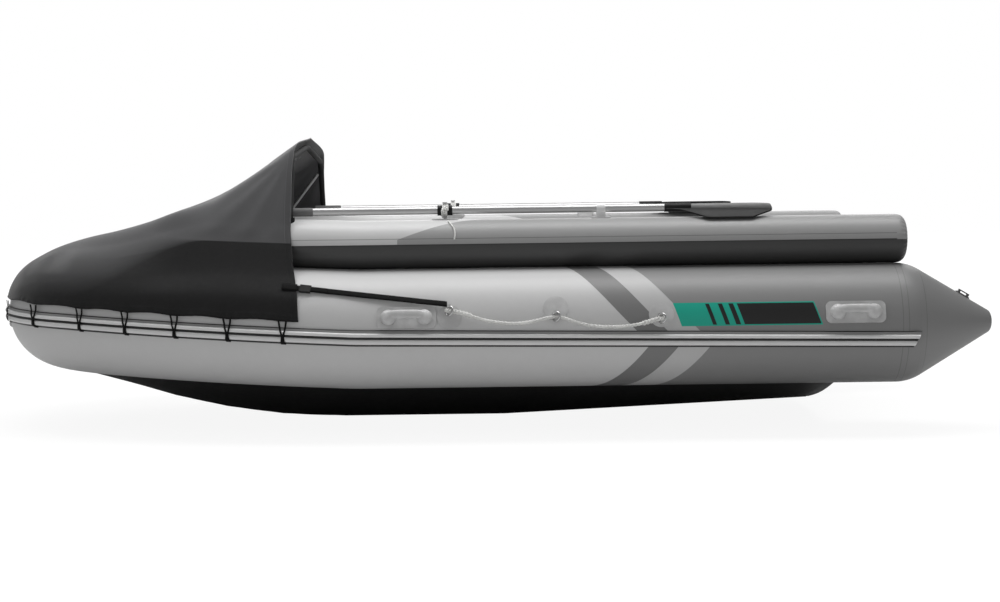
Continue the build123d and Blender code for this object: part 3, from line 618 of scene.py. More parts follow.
@dataclass(frozen=True)
class Lines:
    """The boat's driving lines, as the CAD source has them."""

    tube_radius: float = 0.245
    tube_y: float = 0.735
    tube_z: float = 0.438
    bow_x: float = 2.0865
    stern_x: float = -2.1135
    cone_length: float = 0.4
    cone_angle: float = math.radians(30.9)
    cone_bend: float = 0.188
    shoulder_radius: float = 2.2
    shoulder_turn: float = math.radians(30.0)
    rise: float = math.radians(2.45)
    upper_radius: float = 0.1
    upper_inset: float = 0.035
    upper_aft_x: float = -1.7655
    strake_rise: float = math.radians(3.1)
    strake_half: float = 0.032
    strake_drop: float = 0.019
    strake_fall: float = 0.033 / 2.245
    upper_gap: float = 0.0006
    oar_lift: float = 0.0382
    oar_inset: float = 0.02
    rowlock_share: float = 0.1649
    ring_shares: tuple[float, float] = (0.1739, 0.5572)
    laces: int = 15
    lace_margin: float = 0.075
    bow_runs: tuple[tuple[float, float, int], ...] = ((0.0, 0.54, 40), (0.54, 1.7, 40))

    @property
    def cone_x(self) -> float:
        """Station where the stern cones start."""
        return self.stern_x + self.cone_length

    @property
    def joint_x(self) -> float:
        """Station where the straight sides meet the bow."""
        run = (self.shoulder_radius - self.nose_radius) * math.sin(self.shoulder_turn) + self.nose_radius
        return self.bow_x - self.tube_radius - run * math.cos(self.rise)

    def side(self, share: float) -> float:
        """Station on the straight side, by its share of the way from the bow joint to the cones."""
        return self.joint_x - share * (self.joint_x - self.cone_x)

    @property
    def upper_y(self) -> float:
        """Upper tube's distance from the centre plane."""
        return self.tube_y - self.upper_inset

    @property
    def upper_z(self) -> float:
        """Upper tube's height."""
        reach = self.tube_radius + self.upper_radius + self.upper_gap
        return self.tube_z + math.sqrt(reach**2 - self.upper_inset**2)

    @property
    def rowlock_x(self) -> float:
        """Station of the rowlocks."""
        return self.side(self.rowlock_share)

    @property
    def oar_y(self) -> float:
        """Distance of a stowed oar from the centre plane."""
        return self.upper_y - self.oar_inset

    @property
    def oar_z(self) -> float:
        """Height of a stowed oar."""
        return self.upper_z + self.upper_radius + self.oar_lift

    @property
    def nose_radius(self) -> float:
        """Radius of the nose arc in plan."""
        inset = self.shoulder_radius * (1 - math.cos(self.shoulder_turn))
        return (self.tube_y - inset) / math.cos(self.shoulder_turn)

    @property
    def nose_x(self) -> float:
        """Station of the nose arc's centre."""
        sine = math.sin(self.shoulder_turn)
        return self.joint_x + (self.shoulder_radius - self.nose_radius) * sine

    @property
    def tip_x(self) -> float:
        """Station of the axis at the bow."""
        return self.nose_x + self.nose_radius

    @property
    def nose_end(self) -> float:
        """Distance along the axis from the bow to the end of the nose arc."""
        return self.nose_radius * (math.pi / 2 - self.shoulder_turn)

    @property
    def arc_end(self) -> float:
        """Distance along the axis from the bow to the end of the shoulder arc."""
        return self.nose_end + self.shoulder_radius * self.shoulder_turn

    def plan(self, run: Array) -> tuple[Array, Array, Array, Array]:
        """Plan line of the port half by the distance from the bow.

        Args:
            run: Distances along the axis from the bow tip.

        Returns:
            Station, half width, and the outward normal's two parts.
        """
        nose_end, arc_end = self.nose_end, self.arc_end
        nose, arc = self.nose_radius, self.shoulder_radius
        phi = np.minimum(run, nose_end) / nose
        psi = self.shoulder_turn - (np.clip(run, nose_end, arc_end) - nose_end) / arc
        on_nose, on_arc = run <= nose_end, run <= arc_end
        straight_x = self.joint_x - (run - arc_end)
        x = np.where(on_nose, self.nose_x + nose * np.cos(phi), self.joint_x + arc * np.sin(psi))
        x = np.where(on_arc, x, straight_x)
        y = np.where(on_nose, nose * np.sin(phi), self.tube_y - arc * (1 - np.cos(psi)))
        nx = np.where(on_nose, np.cos(phi), np.sin(psi))
        ny = np.where(on_nose, np.sin(phi), np.cos(psi))
        return x, y, nx, ny

    def run_at(self, x: float) -> float:
        """Distance along the axis from the bow to a station of the straight side."""
        return self.arc_end + self.joint_x - x

    def run_near(self, x: Array, out: float) -> Array:
        """Distance along the axis from the bow, for a line beside it.

        Args:
            x: Stations on that line.
            out: How far outward it lies.

        Returns:
            The distances.
        """
        psi = np.arcsin(np.clip((x - self.joint_x) / (self.shoulder_radius + out), -1.0, 1.0))
        phi = np.arccos(np.clip((x - self.nose_x) / (self.nose_radius + out), -1.0, 1.0))
        on_arc = self.nose_end + (self.shoulder_turn - psi) * self.shoulder_radius
        return np.where(psi <= self.shoulder_turn, on_arc, phi * self.nose_radius)

    @property
    def lace_step(self) -> float:
        """Distance between the hood's laces round the bow."""
        return 2 * self.run_at(self.joint_x) * (1 - 2 * self.lace_margin) / (self.laces - 1)

    def half_width(self, x: Array, out: Array | float = 0.0) -> Array:
        """Distance from the centre plane to a line beside the axis.

        Args:
            x: Stations.
            out: How far outward the line lies.

        Returns:
            The distances.
        """
        arc = np.sqrt(np.maximum((self.shoulder_radius + out) ** 2 - (x - self.joint_x) ** 2, 0.0))
        nose = np.sqrt(np.maximum((self.nose_radius + out) ** 2 - (x - self.nose_x) ** 2, 0.0))
        on_arc = x <= self.joint_x + (self.shoulder_radius + out) * math.sin(self.shoulder_turn)
        bent = np.where(on_arc, self.tube_y - self.shoulder_radius + arc, nose)
        return np.where(x <= self.joint_x, self.tube_y + out, bent)

    def axis_z(self, x: Array) -> Array:
        """Height of the main tube's axis."""
        return self.tube_z + np.maximum(x - self.joint_x, 0.0) * math.tan(self.rise)

    def crease_z(self, x: Any) -> Any:
        """Height of the upper tube's line, carried on to the bow, for an array, a number or a Value."""
        return self.upper_z + (x - self.joint_x) * math.tan(self.rise)

    def on_strake(self, run: Array, out: Array, up: Array) -> tuple[Array, Array, Array]:
        """Point by the strake's middle line.

        Args:
            run: Signed distance from the bow.
            out: Distance out of the tube.
            up: Distance above the strake's middle.

        Returns:
            Station, Y and height.
        """
        x, y, nx, ny = self.plan(np.abs(run))
        lean = np.arcsin(np.clip((self.strake_z(x) - self.axis_z(x)) / self.tube_radius, -1, 1))
        reach = (self.tube_radius + out) * np.cos(lean) - up * np.sin(lean)
        lift = (self.tube_radius + out) * np.sin(lean) + up * np.cos(lean)
        return x + reach * nx, np.where(run < 0, -1.0, 1.0) * (y + reach * ny), self.axis_z(x) + lift

    def strake_z(self, x: Array) -> Array:
        """Height of the strake's middle.

        Args:
            x: Stations.

        Returns:
            The heights.
        """
        fore = (x - self.joint_x) * math.tan(self.strake_rise)
        aft = (x - self.joint_x) * self.strake_fall
        return self.tube_z - self.strake_drop + np.where(x > self.joint_x, fore, aft)


LINES = Lines()


def lengths(grid: Array, axis: int) -> Array:
    """Distance along a grid of points from its first row or column."""
    steps = np.linalg.norm(np.diff(grid, axis=axis), axis=2)
    return np.concatenate([np.zeros_like(np.take(steps, [0], axis)), np.cumsum(steps, axis)], axis)


def spaced(*runs: tuple[float, float, int]) -> Array:
    """Values along joined runs of first, last and count, with each shared end once."""
    parts = [np.linspace(*run) for run in runs]
    return np.concatenate([parts[0], *(part[1:] for part in parts[1:])])


def mirrored(half: Array) -> Array:
    """Values from 0 up, with their opposites before them."""
    return np.concatenate([-half[:0:-1], half])


def unit(vectors: Array) -> Array:
    """Vectors of length 1."""
    return vectors / np.linalg.norm(vectors, axis=-1, keepdims=True)


def ramp(value: Array, low: float, high: float) -> Array:
    """Smooth step from 0 at low to 1 at high."""
    t = np.clip((value - low) / (high - low), 0.0, 1.0)
    return t * t * (3 - 2 * t)


def wrapped(
    name: str, rows: Array, columns: Array, place: Place, ring: bool = False, fold: bool = False
) -> bpy.types.Object:
    """Add a grid and wrap it round a surface.

    Args:
        name: Name of the piece.
        rows: Values of the first parameter.
        columns: Values of the second parameter.
        place: Gives x, y and z for arrays of both parameters.
        ring: Whether the last column closes on the first.
        fold: Whether the second distance counts from the nearer edge.

    Returns:
        The new object, at the origin, with a UV map of the distances along rows and columns in metres.
    """
    bpy.ops.object.select_all(action="DESELECT")
    last_row, last_column = len(rows) - 1, len(columns) - 1
    bpy.ops.mesh.primitive_grid_add(x_subdivisions=last_row, y_subdivisions=last_column, size=2)
    piece = bpy.context.object
    piece.name = piece.data.name = name
    mesh = piece.data
    flat = np.zeros(len(mesh.vertices) * 3)
    mesh.vertices.foreach_get("co", flat)
    flat = flat.reshape(-1, 3)
    row = np.rint((flat[:, 0] + 1) / 2 * last_row).astype(int)
    column = np.rint((flat[:, 1] + 1) / 2 * last_column).astype(int)
    points = np.stack(place(rows[row], columns[column]), 1)
    mesh.vertices.foreach_set("co", points.ravel())
    grid = np.zeros((len(rows), len(columns), 3))
    grid[row, column] = points
    across = lengths(grid, 1)
    if fold:
        across = np.minimum(across, across[:, -1:] - across)
    corners = np.zeros(len(mesh.loops), dtype=int)
    mesh.loops.foreach_get("vertex_index", corners)
    places = np.stack([lengths(grid, 0)[row, column], across[row, column]], 1)
    mesh.uv_layers.active.data.foreach_set("uv", places[corners].ravel())
    mesh.update()
    bpy.ops.object.mode_set(mode="EDIT")
    bpy.ops.mesh.select_all(action="SELECT")
    if ring:
        bpy.ops.mesh.remove_doubles(threshold=WELD)
    bpy.ops.mesh.normals_make_consistent(inside=False)
    bpy.ops.object.mode_set(mode="OBJECT")
    bpy.ops.object.shade_smooth()
    return piece


def solid(piece: bpy.types.Object, thickness: float, offset: float = -1.0) -> None:
    """Give a sheet its thickness and apply it.

    Args:
        piece: The sheet.
        thickness: Its thickness in metres.
        offset: Side that the thickness grows to, as the modifier counts it.
    """
    bpy.context.view_layer.objects.active = piece
    wall = piece.modifiers.new("thickness", "SOLIDIFY")
    wall.thickness = thickness
    wall.offset = offset
    bpy.ops.object.modifier_apply(modifier=wall.name)


def dress(
    piece: bpy.types.Object, material: bpy.types.Material, body: str, slot: str, *nodes: str
) -> bpy.types.Object:
    """Give a new piece its finish, its body and the nodes that it stands for.

    Args:
        piece: The finished piece.
        material: Its material.
        body: CAD body that it moves with.
        slot: The record's material slot; not used.
        nodes: CAD nodes that it replaces.

    Returns:
        The same piece.
    """
    piece.data.materials.clear()
    piece.data.materials.append(material)
    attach(piece, body)
    if nodes:
        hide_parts(*nodes)
    log.info("%s stands for %s", piece.name, ", ".join(nodes) or "trim")
    return piece


def joined(name: str, pieces: Sequence[bpy.types.Object]) -> bpy.types.Object:
    """Join pieces into the first one.

    Args:
        name: Name of the joined piece.
        pieces: Pieces to join.

    Returns:
        The joined piece.
    """
    bpy.ops.object.select_all(action="DESELECT")
    for piece in pieces:
        piece.select_set(True)
    bpy.context.view_layer.objects.active = pieces[0]
    bpy.ops.object.join()
    pieces[0].name = pieces[0].data.name = name
    return pieces[0]


@dataclass
class MainTube:
    """The U-shaped main tube with its two stern cones, as one skin."""

    finish: TubePanels = field(default_factory=lambda: TubePanels("tube_fabric", 0.6))
    segments: int = 96
    rounding: float = 0.018

    def radius(self, run: Array) -> Array:
        """Radius of the skin.

        Args:
            run: Distances along the axis from the bow.

        Returns:
            The radii.
        """
        back = run - LINES.run_at(LINES.cone_x)
        bend_end = LINES.cone_bend * math.sin(LINES.cone_angle)
        sag = np.sqrt(np.maximum(LINES.cone_bend**2 - np.clip(back, 0, bend_end) ** 2, 0.0))
        bend = LINES.tube_radius - LINES.cone_bend + sag
        tip = LINES.tube_radius - LINES.cone_bend * (1 - math.cos(LINES.cone_angle))
        cone = tip - (back - bend_end) * math.tan(LINES.cone_angle)
        body = np.where(back <= 0, LINES.tube_radius, np.where(back <= bend_end, bend, cone))
        left = np.clip(LINES.cone_length - back, 0.0, self.rounding) / self.rounding
        return body * np.sqrt(np.clip(1 - (1 - left) ** 3, 0.0, 1.0))

    def place(self, run: Array, angle: Array) -> tuple[Array, Array, Array]:
        """Point of the skin.

        Args:
            run: Signed distance from the bow.
            angle: Angle above level.

        Returns:
            Station, Y and height of each point.
        """
        far = np.abs(run)
        x, y, nx, ny = LINES.plan(far)
        side = np.where(run < 0, -1.0, 1.0)
        fore = x > LINES.joint_x
        lean = np.where(fore, LINES.rise, 0.0)
        radius = self.radius(far)
        out, up = radius * np.cos(angle), radius * np.sin(angle)
        ax = np.where(fore, LINES.joint_x + (x - LINES.joint_x) * np.cos(lean), x)
        az = LINES.tube_z + np.where(fore, (x - LINES.joint_x) * np.sin(lean), 0.0)
        px = ax + out * nx * np.cos(lean) - up * np.sin(lean)
        pz = az + out * nx * np.sin(lean) + up * np.cos(lean)
        return px, side * (y + out * ny), pz

    def build(self) -> bpy.types.Object:
        """Make the skin.

        Returns:
            The dressed piece.
        """
        cone = LINES.run_at(LINES.cone_x)
        end = cone + LINES.cone_length
        bend, straight = cone - 0.02, cone + 0.12
        half = spaced(
            *LINES.bow_runs, (LINES.bow_runs[-1][1], bend, 60), (bend, straight, 16),
            (straight, end - self.rounding, 16),
        )
        tip = end - self.rounding * (1 - np.linspace(0, 1, 9)) ** 2
        runs = mirrored(np.concatenate([half, tip[1:]]))
        angles = np.linspace(-math.pi, math.pi, self.segments + 1)
        skin = wrapped("main_tube", runs, angles, self.place, ring=True)
        nodes = ("tube_bow", "tube_port", "tube_starboard", "cone_port", "cone_starboard")
        return dress(skin, self.finish.material(), "hull", "tube_fabric", *nodes)


@dataclass
class UpperTube:
    """A raised side tube with a gathered, domed aft end and a fore end under the hood."""

    side: Side
    fore_turn: float = math.radians(13.0)
    tip_length: float = 0.32
    tip_radius: float = 0.022
    dome: float = 0.042
    mouth: float = 0.58
    gather: tuple[float, float, float] = (0.012, 0.016, 0.0016)
    folds: int = 30

    def place(self, run: Array, angle: Array) -> tuple[Array, Array, Array]:
        """Point of the skin.

        Args:
            run: Distance from the aft end.
            angle: Angle above level.

        Returns:
            Station, Y and height of each point.
        """
        straight = LINES.joint_x - LINES.upper_aft_x
        arc_radius = LINES.shoulder_radius - LINES.upper_inset
        bent = np.clip(run - straight, 0.0, arc_radius * self.fore_turn)
        psi = bent / arc_radius
        past = np.maximum(run - straight - arc_radius * self.fore_turn, 0.0)
        x = LINES.upper_aft_x + np.minimum(run, straight) + arc_radius * np.sin(psi) + past * np.cos(psi)
        y = LINES.upper_y - arc_radius * (1 - np.cos(psi)) - past * np.sin(psi)
        z = LINES.upper_z + np.maximum(x - LINES.joint_x, 0.0) * math.tan(LINES.rise)
        radius = LINES.upper_radius - (LINES.upper_radius - self.tip_radius) * past / self.tip_length
        into = np.clip(run / self.dome, 0.0, 1.0)
        domed = self.mouth + (1 - self.mouth) * np.sqrt(np.maximum(1 - (1 - into) ** 2, 0.0))
        middle, width, depth = self.gather
        pucker = np.exp(-(((run - middle) / width) ** 2)) * depth * np.cos(self.folds * angle)
        radius = radius * np.where(run < self.dome, domed, 1.0) + pucker
        end = run >= straight + arc_radius * self.fore_turn + self.tip_length - 1e-6
        radius = np.where((run <= 1e-9) | end, 0.0, radius)
        ny, nx = np.cos(psi), np.sin(psi)
        out = radius * np.cos(angle)
        return x + out * nx, self.side.value * (y + out * ny), z + radius * np.sin(angle)

    def build(self, material: bpy.types.Material) -> bpy.types.Object:
        """Make the skin.

        Args:
            material: Shared finish of both upper tubes.

        Returns:
            The dressed piece.
        """
        straight = LINES.joint_x - LINES.upper_aft_x
        full = straight + (LINES.shoulder_radius - LINES.upper_inset) * self.fore_turn
        skirt = spaced((0.0001, self.dome, 14), (self.dome, full, 60), (full, full + self.tip_length, 8))
        runs = np.concatenate([[0.0], skirt])
        angles = np.linspace(-math.pi, math.pi, 121)
        name = f"upper_skin_{self.side.word}"
        skin = wrapped(name, runs, angles, self.place, ring=True)
        nodes = (f"upper_tube_{self.side.word}", f"upper_fore_{self.side.word}")
        return dress(skin, material, "hull", "tube_fabric", *nodes)


@dataclass
class Strake:
    """The double-ridged rubbing strake round the bow, in three strips."""

    aft_x: float = -1.7585
    base: tuple[tuple[float, float], ...] = (
        (-3.0, 33.0), (2.5, 32.5), (3.5, 31.0), (3.5, 21.0), (9.5, 17.0),
        (9.5, -22.0), (3.5, -27.0), (3.5, -31.0), (2.5, -32.5), (-3.0, -33.0),
    )
    upper: tuple[tuple[float, float], ...] = (
        (6.0, 21.0), (11.0, 20.0), (14.5, 18.0), (16.3, 15.0),
        (16.6, 11.5), (15.5, 8.0), (12.5, 5.6), (6.0, 5.0),
    )
    lower: tuple[tuple[float, float], ...] = (
        (6.0, -4.0), (12.0, -5.0), (15.0, -7.0), (16.6, -11.0),
        (16.6, -17.0), (15.4, -21.0), (12.0, -24.0), (6.0, -25.0),
    )

    def strip(self, name: str, section: Sequence[tuple[float, float]]) -> bpy.types.Object:
        """Sweep one open section round the bow.

        Args:
            name: Name of the strip.
            section: Points as distance out of the tube and height, in millimetres.

        Returns:
            The new strip.
        """
        outs, ups = np.array(section).T / 1000
        end = LINES.run_at(self.aft_x)
        runs = mirrored(spaced(*LINES.bow_runs, (LINES.bow_runs[-1][1], end, 60)))

        def place(run: Array, index: Array) -> tuple[Array, Array, Array]:
            """Point of the strip.

            Args:
                run: Signed distance from the bow.
                index: The section point's number.

            Returns:
                Station, Y and height of each point.
            """
            i = np.rint(index).astype(int)
            x, y, z = LINES.on_strake(run, outs[i], ups[i])
            return x + np.where(np.abs(run) > end - 1e-6, -ups[i] * 0.5, 0.0), y, z

        return wrapped(name, runs, np.arange(len(section), dtype=float), place)

    def build(self, dark: bpy.types.Material, pale: bpy.types.Material) -> None:
        """Make the strips.

        Args:
            dark: Grey finish of the flange, with black painted shade along its edge, in the groove and below
                the ridges.
            pale: Finish of the ridges, the rubber's grey lifted to a pale grey as a painted highlight.
        """
        flange = self.strip("strake_flange", self.base)
        dress(flange, dark, "hull", "strake_rubber", "strake_bow", "strake_port", "strake_starboard")
        ridges = [self.strip("ridge_upper", self.upper), self.strip("ridge_lower", self.lower)]
        dress(joined("strake_ridges", ridges), pale, "hull", "strake_rubber")


@dataclass
class Hood:
    """The bow hood: one curved sheet from the hem on one side over the ridge to the other."""

    rim_x: float = 0.7415
    ease: float = 0.0124
    cloth: float = 0.004
    hem_lift: float = 0.022
    nose_x: float = 1.9
    table: tuple[tuple[float, float, float, float], ...] = (
        (0.7415, 0.640, 1.190, 1.246), (0.846, 0.622, 1.115, 1.184), (1.0, 0.600, 1.020, 1.072),
        (1.112, 0.585, 0.958, 1.018), (1.25, 0.545, 0.928, 0.946), (1.4, 0.420, 0.884, 0.892),
        (1.56, 0.290, 0.846, 0.850), (1.7, 0.210, 0.818, 0.822), (1.84, 0.130, 0.780, 0.784),
    )
    nose_stations: tuple[float, ...] = (1.95, 2.02, 2.06, 2.08, 2.09)
    nose_shares: tuple[float, ...] = (0.0, 0.3, 0.57, 0.76, 0.89, 0.97)
    side_shares: tuple[float, float] = (0.3, 0.62)
    knots: tuple[float, ...] = (0.0, 0.13, 0.27, 0.42, 0.58, 0.76, 1.0)
    tube_turn: float = math.radians(40)
    crease_fade: tuple[float, float] = (1.02, 1.62)
    shoulder_fade: tuple[float, float] = (0.9, 1.3)
    fold_fade: tuple[float, float] = (1.3, 1.65)
    scallop: float = 0.006
    rim_bow: tuple[tuple[float, float], ...] = (
        (0.486, -0.034), (0.6, -0.026), (0.72, 0.0), (0.85, 0.012), (1.1, 0.01), (1.25, 0.0),
    )
    rim_reach: float = 0.25
    window: tuple[float, float, float] = (0.835, 0.96, 0.33)
    corner_z: float = 1.165
    pleats: tuple[tuple[float, float, float], ...] = (
        (8.0, 4.0, 3.0), (19.0, 4.0, -3.0), (30.0, 4.0, 4.5), (39.0, 3.5, -2.5),
        (47.0, 3.5, 4.0), (54.0, 3.0, -2.5), (62.0, 4.0, 4.0), (73.0, 5.0, -2.0),
    )
    welt_half: float = 0.011
    welt_lift: float = 0.0022
    welt_thick: float = 0.003
    film_under: float = 0.006
    film_lap: float = 0.014
    film_thick: float = 0.0006

    def pushed(self, x: Array, z: Array) -> tuple[Array, Array]:
        """Pleats under the arch's corner and puckers over the hem.

        Args:
            x: Stations.
            z: Heights.

        Returns:
            How far the cloth is pushed outward and upward.
        """
        ahead, drop = x - self.rim_x, self.corner_z - z
        reach = np.hypot(ahead, drop)
        turn = np.degrees(np.arctan2(ahead, drop))
        pleats = [(deep / 1000, (turn - middle) / wide) for middle, wide, deep in self.pleats]
        fan = sum(deep * np.exp(-(off**2)) for deep, off in pleats)
        fan = fan * ramp(reach, 0.03, 0.15) * (1 - ramp(reach, 0.32, 0.7))
        fan = fan * ramp(z - LINES.crease_z(x), 0.0, 0.06)
        over = z - LINES.strake_z(x) - LINES.strake_half - self.hem_lift
        pucker = 0.0022 * np.sin(330 * x + 4 * np.sin(41 * x) + 60 * over) * np.exp(-((over / 0.024) ** 2))
        return 0.75 * fan + pucker, 0.65 * fan

    def tube_out(self, x: Array, z: Array) -> Array:
        """Half width of the cloth where it lies on the main tube."""
        radius = LINES.tube_radius + self.ease
        return LINES.half_width(x, np.sqrt(np.maximum(radius**2 - (z - LINES.axis_z(x)) ** 2, 0.0)))

    def half_section(
        self, x: float, crown_y: float = 0.0, crown_z: float = 0.0, ridge: float = 0.0
    ) -> list[tuple[float, float]]:
        """Seven outer points of a half section, from the hem up to the ridge.

        Args:
            x: Station.
            crown_y: Half width where the top turns down.
            crown_z: Height there.
            ridge: Height on the centre plane.

        Returns:
            Half width and height of each point.
        """
        radius = LINES.tube_radius + self.ease
        hem = float(LINES.strake_z(x)) + LINES.strake_half + self.hem_lift
        if x > self.nose_x:
            ahead = x - LINES.tip_x
            ridge = float(LINES.axis_z(x)) + math.sqrt(max(radius**2 - ahead**2, 0.0))
            ridge = max(ridge, hem)
            heights = [hem + share * (ridge - hem) for share in self.nose_shares]
            return [(float(self.tube_out(x, z)), z) for z in heights] + [(0.0, ridge)]
        over = LINES.upper_radius + self.ease
        high = np.array([float(LINES.half_width(x, over - LINES.upper_inset)), LINES.crease_z(x)])
        tube_z = float(LINES.axis_z(x)) + 0.97 * radius
        low = np.array([float(self.tube_out(x, tube_z)) + 0.03, tube_z])
        share = float(ramp(np.array(x), *self.crease_fade))
        crease_y, crease_z = high + share * (low - high)
        over_tube = high + over * np.array([math.cos(self.tube_turn) - 1, math.sin(self.tube_turn)])
        between = np.array([0.6 * crease_y + 0.4 * crown_y, 0.55 * crease_z + 0.45 * crown_z])
        share = float(ramp(np.array(x), *self.shoulder_fade))
        shoulder = tuple(over_tube + share * (between - over_tube))
        hem_y = float(self.tube_out(x, hem))
        points = [(hem_y, hem)]
        for share in self.side_shares:
            z = hem + share * (crease_z - hem)
            points.append((max(float(self.tube_out(x, z)), hem_y + share * (crease_y - hem_y)), z))
        return [*points, (crease_y, crease_z), shoulder, (crown_y, crown_z), (0.0, ridge)]

    def surface(self) -> Place:
        """Smooth surface through the sections.

        Returns:
            A function of the station and of the place from the port hem (0) over the ridge (1)
            to the starboard hem (2).
        """
        rows = [(row[0], self.half_section(*row)) for row in self.table]
        rows += [(x, self.half_section(x)) for x in self.nose_stations]
        stations = np.array([r[0] for r in rows])
        grid = np.array([r[1] for r in rows])
        knots = np.array(self.knots)
        heights, bows = np.array(self.rim_bow).T

        def smooth(at: Array, xs: Array, ys: Array) -> Array:
            """Monotone cubic through points.

            Args:
                at: Where to read it.
                xs: Places of the points.
                ys: A row of values for each point.

            Returns:
                A row of values for each place in at.
            """
            step = np.diff(xs)
            slope = np.diff(ys, axis=0) / step[:, None]
            product, total = slope[1:] * slope[:-1], slope[1:] + slope[:-1] + 1e-12
            middle = np.where(product > 0, 2 * product / total, 0.0)
            tangent = np.vstack([slope[:1], middle, slope[-1:]])
            i = np.clip(np.searchsorted(xs, at, side="right") - 1, 0, len(xs) - 2)
            h = step[i][:, None]
            t = ((at - xs[i]) / step[i])[:, None]
            a, b = ys[i], ys[i + 1]
            return (
                a * (1 + 2 * t) * (1 - t) ** 2 + tangent[i] * h * t * (1 - t) ** 2
                + b * t**2 * (3 - 2 * t) + tangent[i + 1] * h * t**2 * (t - 1)
            )

        def place(x: Array, across: Array) -> tuple[Array, Array, Array]:
            """Point of the cloth.

            Args:
                x: Station.
                across: Place from the port hem (0) to the starboard hem (2).

            Returns:
                Station, Y and height of each point.
            """
            half = np.where(across > 1, 2 - across, across)
            side = np.where(across > 1, -1.0, 1.0)
            unique = np.unique(x)
            sections = smooth(unique, stations, grid.reshape(len(stations), -1))
            sections = sections.reshape(len(unique), len(knots), 2)
            out = np.zeros((len(x), 2))
            which = np.searchsorted(unique, x)
            for k, station in enumerate(unique):
                chosen = which == k
                at = half[chosen]
                below = smooth(at, knots[:4], sections[k][:4])
                above = smooth(at, knots[3:], sections[k][3:])
                creased = np.where((at < knots[3])[:, None], below, above)
                share = ramp(station, *self.fold_fade)
                out[chosen] = creased + share * (smooth(at, knots, sections[k]) - creased)
            outward, upward = self.pushed(x, out[:, 1])
            run = LINES.run_near(x, LINES.tube_radius)
            scallop = self.scallop * np.sin(math.pi * run / LINES.lace_step) ** 2
            y = out[:, 0] + np.where(out[:, 0] > 0.01, outward, 0.0)
            z = out[:, 1] + upward + scallop * (1 - ramp(half, 0.0, 0.08))
            share = np.clip(1 - (x - self.rim_x) / self.rim_reach, 0.0, 1.0)
            return x + np.interp(z, heights, bows) * share**2, side * y, z

        return place

    def build(self, cloth: bpy.types.Material, film: bpy.types.Material) -> bpy.types.Object:
        """Make the hood and its window.

        Args:
            cloth: Finish of the hood.
            film: Finish of the window.

        Returns:
            The hood.
        """
        place = self.surface()
        aft, fore, wide = self.window
        middle, tip = self.fold_fade[0], self.nose_stations[-1] - self.nose_x
        stations = np.concatenate([
            spaced((self.rim_x, aft, 14), (aft, fore, 14), (fore, middle, 44), (middle, self.nose_x, 50)),
            self.nose_x + tip * np.sin(np.linspace(0, math.pi / 2, 40))[1:],
        ])
        crease = self.knots[3] + np.array([-0.0015, 0.0, 0.0015])
        half = np.concatenate([np.linspace(0, 0.414, 44), crease, np.linspace(0.426, 1.0, 58)])
        sheet = wrapped("hood_sheet", stations, np.concatenate([half, 2 - half[-2::-1]]), place, fold=True)
        bpy.ops.object.mode_set(mode="EDIT")
        bpy.ops.mesh.select_mode(type="FACE")
        bpy.ops.mesh.select_all(action="DESELECT")
        bpy.ops.object.mode_set(mode="OBJECT")
        for face in sheet.data.polygons:
            face.select = aft < face.center.x < fore and abs(face.center.y) < wide and face.center.z > 0.95
        bpy.ops.object.mode_set(mode="EDIT")
        bpy.ops.mesh.delete(type="FACE")
        bpy.ops.object.mode_set(mode="OBJECT")
        spots = np.zeros(2 * len(sheet.data.loops))
        sheet.data.uv_layers.active.data.foreach_get("uv", spots)
        solid(sheet, self.cloth)
        dress(sheet, cloth, "hull", "hood_cloth", "hood")
        pane = self.pane(place, film)
        welt = self.welt(place, cloth)
        return sheet

    def height(self, place: Place, x: Array, y: Array) -> Array:
        """Height of the cloth over points of the window's slope.

        Args:
            place: The cloth's surface.
            x: Stations.
            y: Distances to port.

        Returns:
            The heights.
        """
        across = np.linspace(0.6, 1.0, 50)
        found = []
        for station, out in zip(x, np.abs(y)):
            _, ys, zs = place(np.full(len(across), station), across)
            found.append(np.interp(out, ys[::-1], zs[::-1]))
        return np.array(found)

    def pane(self, place: Place, film: bpy.types.Material) -> bpy.types.Object:
        """Make the clear window.

        Args:
            place: The cloth's surface.
            film: Finish of the window.

        Returns:
            The dressed pane.
        """
        aft, fore, wide = self.window

        def under(x: Array, y: Array) -> tuple[Array, Array, Array]:
            """Point of the film, a little under the cloth's outer face."""
            wave = 0.0025 * np.sin(52 * y) * np.sin(math.pi * (x - aft) / (fore - aft))
            return x, y, self.height(place, x, y) - self.film_under + wave

        lap = self.film_lap
        rows, columns = np.linspace(aft - lap, fore + lap, 12), np.linspace(-wide - lap, wide + lap, 60)
        pane = wrapped("window_pane", rows, columns, under)
        solid(pane, self.film_thick)
        return dress(pane, film, "hull", "window_film", "hood_window")

    def welt(self, place: Place, cloth: bpy.types.Material) -> bpy.types.Object:
        """Make the stitched band round the window.

        Args:
            place: The cloth's surface.
            cloth: Finish of the hood.

        Returns:
            The dressed band.
        """
        aft, fore, wide = self.window
        long, broad = fore - aft, 2 * wide
        length = 2 * (long + broad)

        def round_window(run: Array, across: Array) -> tuple[Array, Array, Array]:
            """Point of the band.

            Args:
                run: Distance round the window.
                across: Place across the band, from -1 to 1.

            Returns:
                Station, Y and height of each point.
            """
            run = run % length
            out = self.welt_half * across
            legs = [run < long, run < long + broad, run < 2 * long + broad]
            u = np.select(legs, [run, np.full_like(run, long), 2 * long + broad - run], 0.0)
            v = np.select(legs, [np.zeros_like(run), run - long, np.full_like(run, broad)], length - run)
            x = aft + u + out * np.sign(u - long / 2) * (np.abs(u - long / 2) > long / 2 - 1e-6)
            y = v - wide + out * np.sign(v - wide) * (np.abs(v - wide) > wide - 1e-6)
            return x, y, self.height(place, x, y) + self.welt_lift

